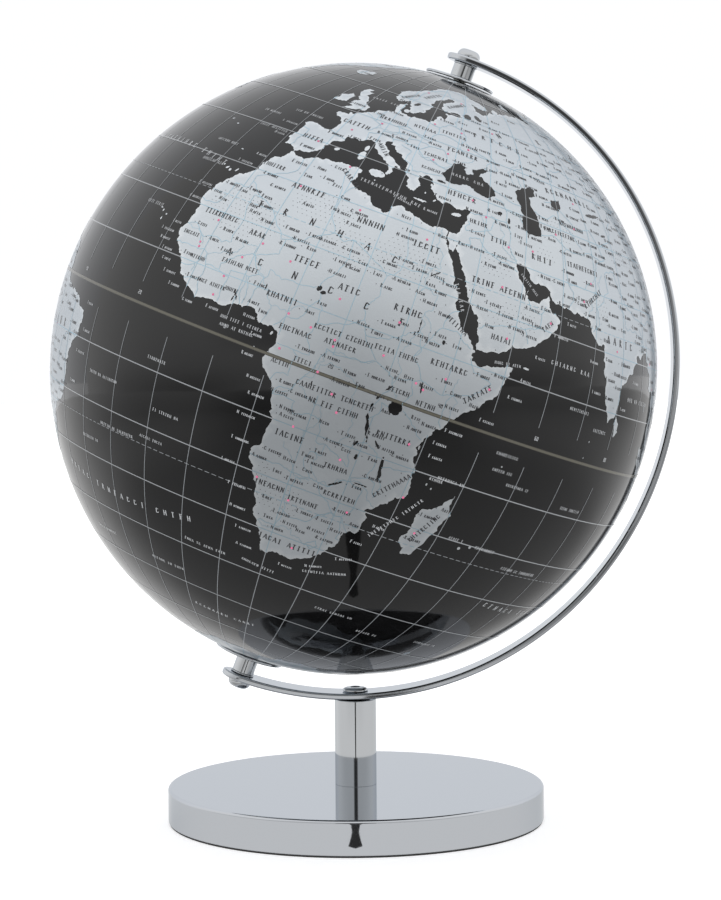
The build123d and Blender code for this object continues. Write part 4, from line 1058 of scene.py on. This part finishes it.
def dots(name, places, size, sides, finish, radius=letter_radius):
    """Printed dots: small flat rounds with this many sides, each where its place is."""
    middle = toward(places)
    east = np.cross([0, 0, 1.0], middle)
    east /= np.linalg.norm(east, axis=1, keepdims=True)
    ahead = np.cross(middle, east)
    turn = np.linspace(0, 2 * math.pi, sides, endpoint=False)[None, :, None]
    rim = np.cos(turn) * east[:, None] + np.sin(turn) * ahead[:, None]
    ways = middle[:, None] + size / 2 / ball_radius * rim
    ways /= np.linalg.norm(ways, axis=-1, keepdims=True)
    faces = np.arange(len(places) * sides).reshape(-1, sides)
    return on_ball(name, ways.reshape(-1, 3), [faces], radius, finish)


def labels(text):
    """Labels out of written rows: longitude, latitude, turn, height, gap between letters, and how many
    letters each word has."""
    written = [row.split() for row in text.split("|")]
    return [(*map(float, sizes), " ".join("x" * int(letters) for letters in words.split("+")))
            for *sizes, words in written]


COUNTRIES = labels("""-7 31.8 0 1.8 0.06 7 | 3 29.5 0 2.3 0.12 7 | 9.6 34.6 -35 1.9 0.05 7 | 17.5 27.5 0
2.5 0.12 5 | 29 27 0 2.5 0.1 5 | -10.5 19.5 0 2 0.05 10 | -1.5 18.5 0 2.1 0.12 4 | 9.5 17 0 2.4 0.12 5 |
18.5 15 0 2.5 0.12 4 | 29.5 15 0 2.5 0.15 5 | -14.5 14.6 0 1.5 0.02 7 | -1.8 12.3 0 1.7 0.02 7+4 | 8 9.7
0 2.2 0.06 7 | -10.5 11 0 1.5 0.02 6 | -5.5 7.6 0 1.5 0.02 4+6 | -1.2 7.9 0 1.5 0.02 5 | 12.4 5.2 0 2
0.05 8 | 20.5 7.3 0 1.9 0.05 7+7 | 20.5 5.6 0 1.9 0.05 8 | 30 7.6 0 1.9 0.05 5+5 | 39.5 8.4 0 2.2 0.1 8
| 38.6 15.6 -25 1.8 0.05 7 | 46 5.6 42 2.1 0.1 7 | 11.8 -0.6 0 1.8 0.02 5 | 15.4 0.9 0 1.8 0.05 5 | 22.5
-2.6 0 2 0.03 10+8 | 23 -4.6 0 2 0.03 2+3+5 | 32.5 1.7 0 1.8 0.02 6 | 37.7 1 0 1.9 0.06 5 | 34.5 -6 0
2.1 0.05 8 | 17.5 -11.8 0 2.3 0.08 6 | 27 -14.3 0 1.9 0.05 6 | 29.5 -19 0 1.9 0.05 8 | 37.5 -14 50 1.9
0.06 10 | 16.8 -21.4 0 2.1 0.05 7 | 23.6 -22.2 0 1.9 0.03 8 | 23.5 -31.4 0 2.3 0.06 5+6 | 46.7 -19.5 65
1.9 0.03 10 | -4 40.2 0 2.1 0.1 5 | 2.5 47 0 2.2 0.1 6 | 10.3 51.2 0 1.9 0.06 7 | 12.6 43.2 -45 1.7 0.1
5 | 19.5 52.2 0 1.8 0.06 6 | 31.5 49.2 0 2.1 0.1 7 | 28 53.4 0 1.7 0.06 7 | 25 45.9 0 1.7 0.06 7 | 25.3
42.6 0 1.4 0.02 8 | 33.5 39.2 0 2.2 0.12 6 | 38.3 35 0 1.8 0.06 5 | 43.3 33 0 2 0.08 4 | 54 32.6 0 2.4
0.35 4 | 45 24.5 0 2.3 0.08 5+6 | 47.5 15.9 0 2.1 0.08 5 | 56.8 20.8 45 1.8 0.1 4 | 66 33.8 0 2 0.05 11
| 68.8 28.7 40 2 0.06 8 | 78.5 22.5 0 2.9 0.8 5 | 59.5 39.2 0 1.7 0.02 12 | 64 41.6 0 1.7 0.02 10 | 66
48.4 0 2.4 0.35 10 | 95 61 0 3.3 1.6 6 | 42 56 0 2.4 0.8 6 | 103 46.6 0 2.2 0.5 8 | 104 35.6 0 3.3 1.6 5
| 96 21 0 1.8 0.06 5 | 101.2 15.6 0 1.7 0.02 8 | 137.5 36 40 1.8 0.15 5 | 16 64 60 1.8 0.1 6 | 26.5 63.6
50 1.7 0.06 7 | 9 61 55 1.7 0.06 6 | -52 -9 0 3.3 1.4 6 | -65 -36 70 2.2 0.5 9 | -75 -10 -55 1.9 0.15 4
| -64 -17 0 1.8 0.06 7 | -73.5 4 0 1.9 0.06 8 | -66 7.5 0 1.8 0.02 9 | -102 24 0 2 0.15 6 | -98 39.5 0
2.9 0.8 6+6 | -105 57 0 3.3 1.6 6 | -41 74 0 2.4 0.15 9 | 134 -24.5 0 3.3 1.6 9 | 30 -84 0 2.9 1.2 10 |
-153 65 0 2 0.5 6""")
WIDE_NAMES = labels("""10 23.9 -2.5 2.9 1.22 1+1+1+1+1+1 | 12 13.9 -2 3 1.69 1+1+1+1+1+1 | 75 62.4 0 3
3.2 1+1+1+1 | -100 47 0 2.8 2 1+1+1+1+1+1+1""")
WATERS = labels("""-19 -35.8 0 2.4 0.9 5+8+5 | -38 30.5 0 2.4 0.9 5+8+5 | 84 -31.6 0 2.4 0.9 6+5 | 64
15.2 0 1.7 0.4 7+3 | 88.5 13.2 0 1.6 0.3 3+2+6 | 2.4 1.9 0 1.2 0.1 4+2+6 | 2.8 3.2 0 1.2 0.1 3+4+1+6 |
40.8 -19.4 58 1.3 0.3 10+7 | 18.5 34.8 -6 1.4 0.3 13+3 | 34 43.4 0 1.4 0.3 5+3 | 37.8 20.4 -62 1.4 0.4
3+3 | 51.5 27 -38 1 0.1 7+4 | 50 12.2 8 1.1 0.1 4+2+4 | -150 18 0 2.6 1.2 5+7+5 | -120 -32 0 2.6 1.2
5+7+5 | 168 -2.8 0 2 0.8 7+5 | 135 19 0 1.8 0.4 10+3 | 160 -37 0 1.8 0.4 6+3 | 0 78 0 2 0.8 6+5 | 55
74.4 0 1.4 0.3 7+3 | 55.7 -2.6 0 1.2 0.1 10 | 56 -5.5 0 1.1 0.1 6+3 | 60.5 -7.4 0 1.1 0.1 9+2 | 47.3
-9.9 0 1.2 0.1 8+2 | 44.6 -10.5 0 1.1 0.1 6 | 61 -20 0 1.3 0.1 9 | 53.8 -19.6 0 1.1 0.1 5+1 | 75.6 6.2 0
1.3 0.1 8 | 68.5 8.6 0 1.2 0.1 11 | -22.5 33.4 0 1.2 0.1 7+4 | -21.5 28.6 0 1.3 0.1 7+3 | -27.8 17.4 0
1.3 0.1 4+5 | -20.4 43.2 0 1.2 0.1 2+6 | -15.2 39.6 0 1.2 0.1 5+8 | -10.7 45.5 0 1.2 0.1 3+2+6 | 3.9
56.2 0 1.3 0.2 5+3 | -11 -8 0 1.2 0.1 9 | -6.5 -16.4 0 1.2 0.1 2+6+2 | -18.5 -23 0 1.2 0.1 6+2+9 | -9
-21.9 0 1.1 0.1 6+5 | 6 -38.5 0 1.2 0.1 4+2+4+4 | 19 -38.2 -6 1.2 0.1 7+5 | 33 -34.6 18 1.2 0.1 8+7 | 40
-43.4 0 1.2 0.1 5+6+2 | 51.5 -46.2 0 1.2 0.1 6+2 | -5.5 -46.8 0 1.3 0.1 6+2+4 | -30 -46 0 1.3 0.1 5+7 |
12 -56 0 1.6 0.4 8+5 | 70 -45 0 1.2 0.1 9+2 | -24 -14.7 0 1.2 0.1 5+2+9 | -27.5 -26.8 0 1.2 0.1 8+2 | 76
-8.6 0 1.2 0.1 5+7 | 73 -22.6 0 1.3 0.1 6+2+9""")
COAST_NAMES = rows_of("""-18.9,15.6,0 -20,13.8,0 -19.5,12.2,0 -17.8,10.6,0 -16.8,8.9,0 -14.7,7,0
-12.6,5.2,0 -8.5,3.5,0 -3.2,3.9,0 4,4.8,0 6.4,2.3,0 6.1,-1.2,0 8.6,-4.6,0 10,-7.2,0 9.4,-11,0
9.6,-15.4,0 8.3,-19.8,0 11.2,-23.6,0 12.3,-27.6,0 14.3,-31.4,0 15.3,-34.9,0 25,-36,0 30.6,-33.8,20
35.6,-30.2,20 36.3,-26.2,0 38.9,-22,0 43,-6.8,0 42.8,-4.4,0 44.5,-1.8,0 49.6,1.8,0 53.5,7,0 54.6,10.4,0
-18.4,21,0 -18.3,24,0 -13.4,30.6,0 -11.3,33,0 -12,38.8,0 -12.3,42,0 28,33.9,0 21.8,34,-10 72.2,12.6,0
70.2,17.6,0 63,22.6,0 60.8,19.8,0 56.6,15,0 86.4,16.4,0 82.3,11.2,0 -32.8,-12.4,0 -32,-8.4,0 -35,-18,0
-33.2,-3.6,0""", 3)

names_on_land = COUNTRIES + WIDE_NAMES
lettering("country_names", names_on_land, black_ink, 7)
chance = np.random.default_rng(11)
town_spacing, town_limit = 6.2, 66
degrees_per_mm, letter_pitch, town_clear = 0.46, 0.31, 1.6
town_grid = lonlat_of(even_spread(town_spacing))
town_grid = town_grid + chance.normal(0, 0.5, town_grid.shape)
town_grid = town_grid[np.abs(town_grid[:, 1]) < town_limit]
town_grid = town_grid[on_land(toward(town_grid))]
for lon, lat, turn, height, gap, text in names_on_land:
    half_long = degrees_per_mm * height * (letter_pitch * len(text) * (1 + gap))
    half_long = half_long / math.cos(math.radians(lat)) + town_clear
    near = (np.abs(town_grid[:, 0] - lon) < half_long) & (np.abs(town_grid[:, 1] - lat) < 1.5 + 0.2 * height)
    town_grid = town_grid[~near]
town_names = [(lon + 1.6, lat + 0.1, 0, 1.5, 0.02, "x" + "o" * int(letters))
              for (lon, lat), letters in zip(town_grid, chance.integers(3, 7, len(town_grid)))]
over_land = on_land(toward(np.array([label[:2] for label in town_names])))
lettering("town_names", [label for label, land in zip(town_names, over_land) if land], black_ink, 13)
dots("town_dots", town_grid + [-0.5, 0], 0.42, 5, black_ink)
shift = chance.uniform(-1, 1, (len(COUNTRIES), 2)) * [3.2, 2.4]
capitals = np.array([label[:2] for label in COUNTRIES]) + shift
dots("capital_dots", capitals[on_land(toward(capitals))], 1.0, 8, pink_ink, radius=capital_radius)
coast_letters = chance.integers(5, 9, len(COAST_NAMES))
coast_labels = [(lon, lat, turn, 1.25, 0.02, "x" + "o" * int(letters))
                for (lon, lat, turn), letters in zip(COAST_NAMES, coast_letters)]
lettering("water_names", WATERS + coast_labels, white_ink, 17)
degrees = [(lon + 0.3, 1.75, 0, 1.45, 0.1, str(abs(lon))) for lon in range(-160, 200, 20)]
over_land = on_land(toward(np.array([mark[:2] for mark in degrees])))
lettering("degrees_on_sea", [mark for mark, land in zip(degrees, over_land) if not land], white_ink, 19)
lettering("degrees_on_land", [mark for mark, land in zip(degrees, over_land) if land], black_ink, 23)

DESERTS = rows_of("""-6,21.5,9,4.5 8,27,7,3 18,22,8,3.2 27,23.8,6,4 20,-23.4,4,3 15,-22,1.6,5
49,20,6,2.6 43.5,28,4,2 60,39.5,5,2 71.5,27,2.6,2.4 84,39,7,1.8 104,42.6,8,2 127,-22,8,4 133,-28,6,2.5
-69,-23,1.6,4 55,33.6,3,1.6""", 4)
row_latitudes = np.arange(-40, 50, 0.82)
rows = np.concatenate([np.stack([np.arange(-180, 180, 1.0) + 0.5 * (number % 2), np.full(360, lat)], axis=-1)
                       for number, lat in enumerate(row_latitudes)])
in_desert = np.zeros(len(rows), bool)
for lon, lat, half_long, half_high in DESERTS:
    in_desert |= ((rows[:, 0] - lon) / half_long) ** 2 + ((rows[:, 1] - lat) / half_high) ** 2 < 1
dots("desert_dots", rows[in_desert], 0.34, 4, black_ink, radius=desert_radius)


# ---- The table and the light: a pale floor, white all round, and a dull front where the light falls
# off beyond the table's edge. The cards in front show only in polished surfaces.
floor_segments = 96
turn = np.linspace(0, 2 * math.pi, floor_segments, endpoint=False)
floor_rings = np.array([0.0001, 0.2, 0.5, 1.2, 4.0])[:, None, None]
floor_points = floor_rings * np.stack([np.cos(turn), np.sin(turn), 0 * turn], axis=-1)
number = np.arange(floor_points.size // 3).reshape(floor_points.shape[:2])
floor_faces = np.stack([number[:-1], number[1:], np.roll(number, -1, axis=1)[1:],
                        np.roll(number, -1, axis=1)[:-1]], axis=-1).reshape(-1, 4)
floor = mesh_piece("floor", floor_points, [floor_faces])
pale, shader, place = new_finish("pale_floor", Emission_Color=(1, 1, 1, 1), Emission_Strength=0.42)
wire(shader, Base_Color=place.noise(6, 2).between((0.86, 0.86, 0.86, 1), (0.90, 0.90, 0.90, 1)),
     Roughness=0.5 + 0.1 * place.noise(200, 2))
floor.data.materials.append(pale)

surround = bpy.data.worlds.new("white_surround")
surround.use_nodes = True
surround.node_tree.nodes["Background"].inputs["Color"].default_value = (1.0, 1.01, 1.035, 1)
surround.node_tree.nodes["Background"].inputs["Strength"].default_value = 1.0
bpy.context.scene.world = surround
bpy.context.scene.view_settings.view_transform = "Standard"


def card(name, points, glow, sheen=None):
    """A card that shows only in reflections: a grid of points, each with its own glow, and with a sheen
    that adds to it where the card is seen edge on."""
    rows, columns = points.shape[:2]
    number = np.arange(rows * columns).reshape(rows, columns)
    faces = np.stack([number[:-1, :-1], number[1:, :-1], number[1:, 1:], number[:-1, 1:]], -1)
    sheet = mesh_piece(name, points, [faces.reshape(-1, 4)], sharp=0)
    sheen = 0 * glow if sheen is None else sheen
    for attribute, values in (("glow", glow), ("sheen", sheen)):
        sheet.data.attributes.new(attribute, "FLOAT", "POINT").data.foreach_set("value", values.ravel())
    finish = bpy.data.materials.new(name)
    finish.use_nodes = True
    tree = finish.node_tree
    tree.nodes.clear()
    start = Value(tree, None)
    steady, edge_on = (start.node("ShaderNodeAttribute", {"attribute_name": name}, {}, output=2)
                       for name in ("glow", "sheen"))
    facing = start.node("ShaderNodeLayerWeight", {}, {"Blend": 0.5}, output=1)
    grazing = start.node("ShaderNodeMapRange", {"interpolation_type": "SMOOTHSTEP"},
                         {"Value": facing, "From Min": 0.5, "From Max": 0.8})
    lamp = start.node("ShaderNodeEmission", {}, {"Color": steady + edge_on * grazing})
    start.node("ShaderNodeOutputMaterial", {}, {"Surface": lamp}, output=None)
    sheet.data.materials.append(finish)
    sheet.visible_camera = sheet.visible_diffuse = sheet.visible_shadow = False
    sheet.visible_transmission = sheet.visible_volume_scatter = False


def fall(value, first, last):
    """0 up to first, 1 from last on, and a smooth S between them."""
    share = np.clip((value - first) / (last - first), 0, 1)
    return share * share * (3 - 2 * share)


front_reach = 2.2
table_lift, slit_lift = 0.0004, 0.0008
dull_heading = math.radians(15)
aside = np.radians(np.linspace(-112, 112, 57))[None, :]
above = np.radians(np.linspace(0, 60, 61))[:, None]
front = front_reach * np.stack([np.cos(above) * np.sin(aside), -np.cos(above) * np.cos(aside),
                                np.sin(above) + 0 * aside], axis=-1)
off_middle, height = np.degrees(np.abs(aside)), np.degrees(above)
dull = (1 - fall(off_middle, 50, 108)) * (1 - fall(height, 3, 22))
behind_camera = (1 - fall(off_middle, 25, 60)) * fall(height, 10, 18)
behind_camera = behind_camera * (1 - fall(height, 22, 42))
to_the_sides = fall(off_middle, 25, 55) * (1 - fall(off_middle, 85, 112))
low_haze = to_the_sides * (1 - fall(height, 0, 9))
card("dull_front", front, 1 - 0.30 * dull - 0.40 * behind_camera - 0.28 * low_haze)

round_table = np.radians(np.linspace(-180, 180, 121))[None, :]
table_rings = np.array([0.0786, 0.10, 0.2, 0.35, 0.6, 1.0, 2.2])[:, None]
table = np.stack([table_rings * np.sin(round_table), -table_rings * np.cos(round_table),
                  table_lift + 0 * table_rings * round_table], axis=-1)
off_heading = np.abs((round_table - dull_heading + math.pi) % (2 * math.pi) - math.pi)
table_dull = 1 - fall(np.degrees(off_heading), 90, 150) + 0 * table_rings
camera_shade = fall(table_rings, 0.28, 0.5) * (1 - fall(np.degrees(np.abs(round_table)), 30, 60))
far_away = fall(table_rings, 0.45, 2.2)
card("dull_table", table, 1 - (0.55 - 0.22 * far_away) * table_dull - 0.33 * camera_shade,
     sheen=0.40 * (1 - fall(table_rings, 0.35, 0.9)) * table_dull)

lens_wide = np.linspace(-1, 1, 21)[None, :]
lens_tall = np.linspace(-1, 1, 21)[:, None]
lens_aside, lens_away, lens_height = 0.045, 1.25, 0.30
half_width, half_height = 0.26, 0.29
lens = np.stack([lens_aside + half_width * lens_wide + 0 * lens_tall, -lens_away + 0 * lens_wide * lens_tall,
                 lens_height + half_height * lens_tall + 0 * lens_wide], axis=-1)
card("dark_lens_opening", lens, 0.06 + 0.36 * fall(np.hypot(lens_wide, lens_tall), 0.45, 1.0))

out_from_base = np.array([0.093, 0.097, 0.125, 0.17, 0.25, 0.36])[:, None]
half = np.array([0.0002, 0.0042, 0.0030, 0.0080, 0.0140, 0.021])[:, None]
sides = np.array([[-1.0, 1.0]])
slit = np.stack([half * sides + 0.035 * out_from_base, -out_from_base + 0 * sides,
                 slit_lift + 0 * out_from_base * sides], axis=-1)
card("slit_on_table", slit, 0.04 + 0 * slit[..., 0])


# ---- The camera: a little to the right of the front and a little above the ball's middle, looking
# slightly down through a long lens.
camera_away, camera_height, camera_turn = 1.1066, 0.2234, math.radians(2.2)
camera_side, camera_down, camera_roll = 0.00295, math.radians(3.557), math.radians(-0.435)
camera = bpy.data.objects.new("camera", bpy.data.cameras.new("camera"))
bpy.context.scene.collection.objects.link(camera)
camera.data.lens = 106.72
camera.data.sensor_width = 36.0
camera.matrix_world = (
    Matrix.Rotation(camera_turn, 4, "Z") @ Matrix.Translation((camera_side, -camera_away, camera_height))
    @ Matrix.Rotation(math.pi / 2 - camera_down, 4, "X") @ Matrix.Rotation(camera_roll, 4, "Z"))
bpy.context.scene.camera = camera
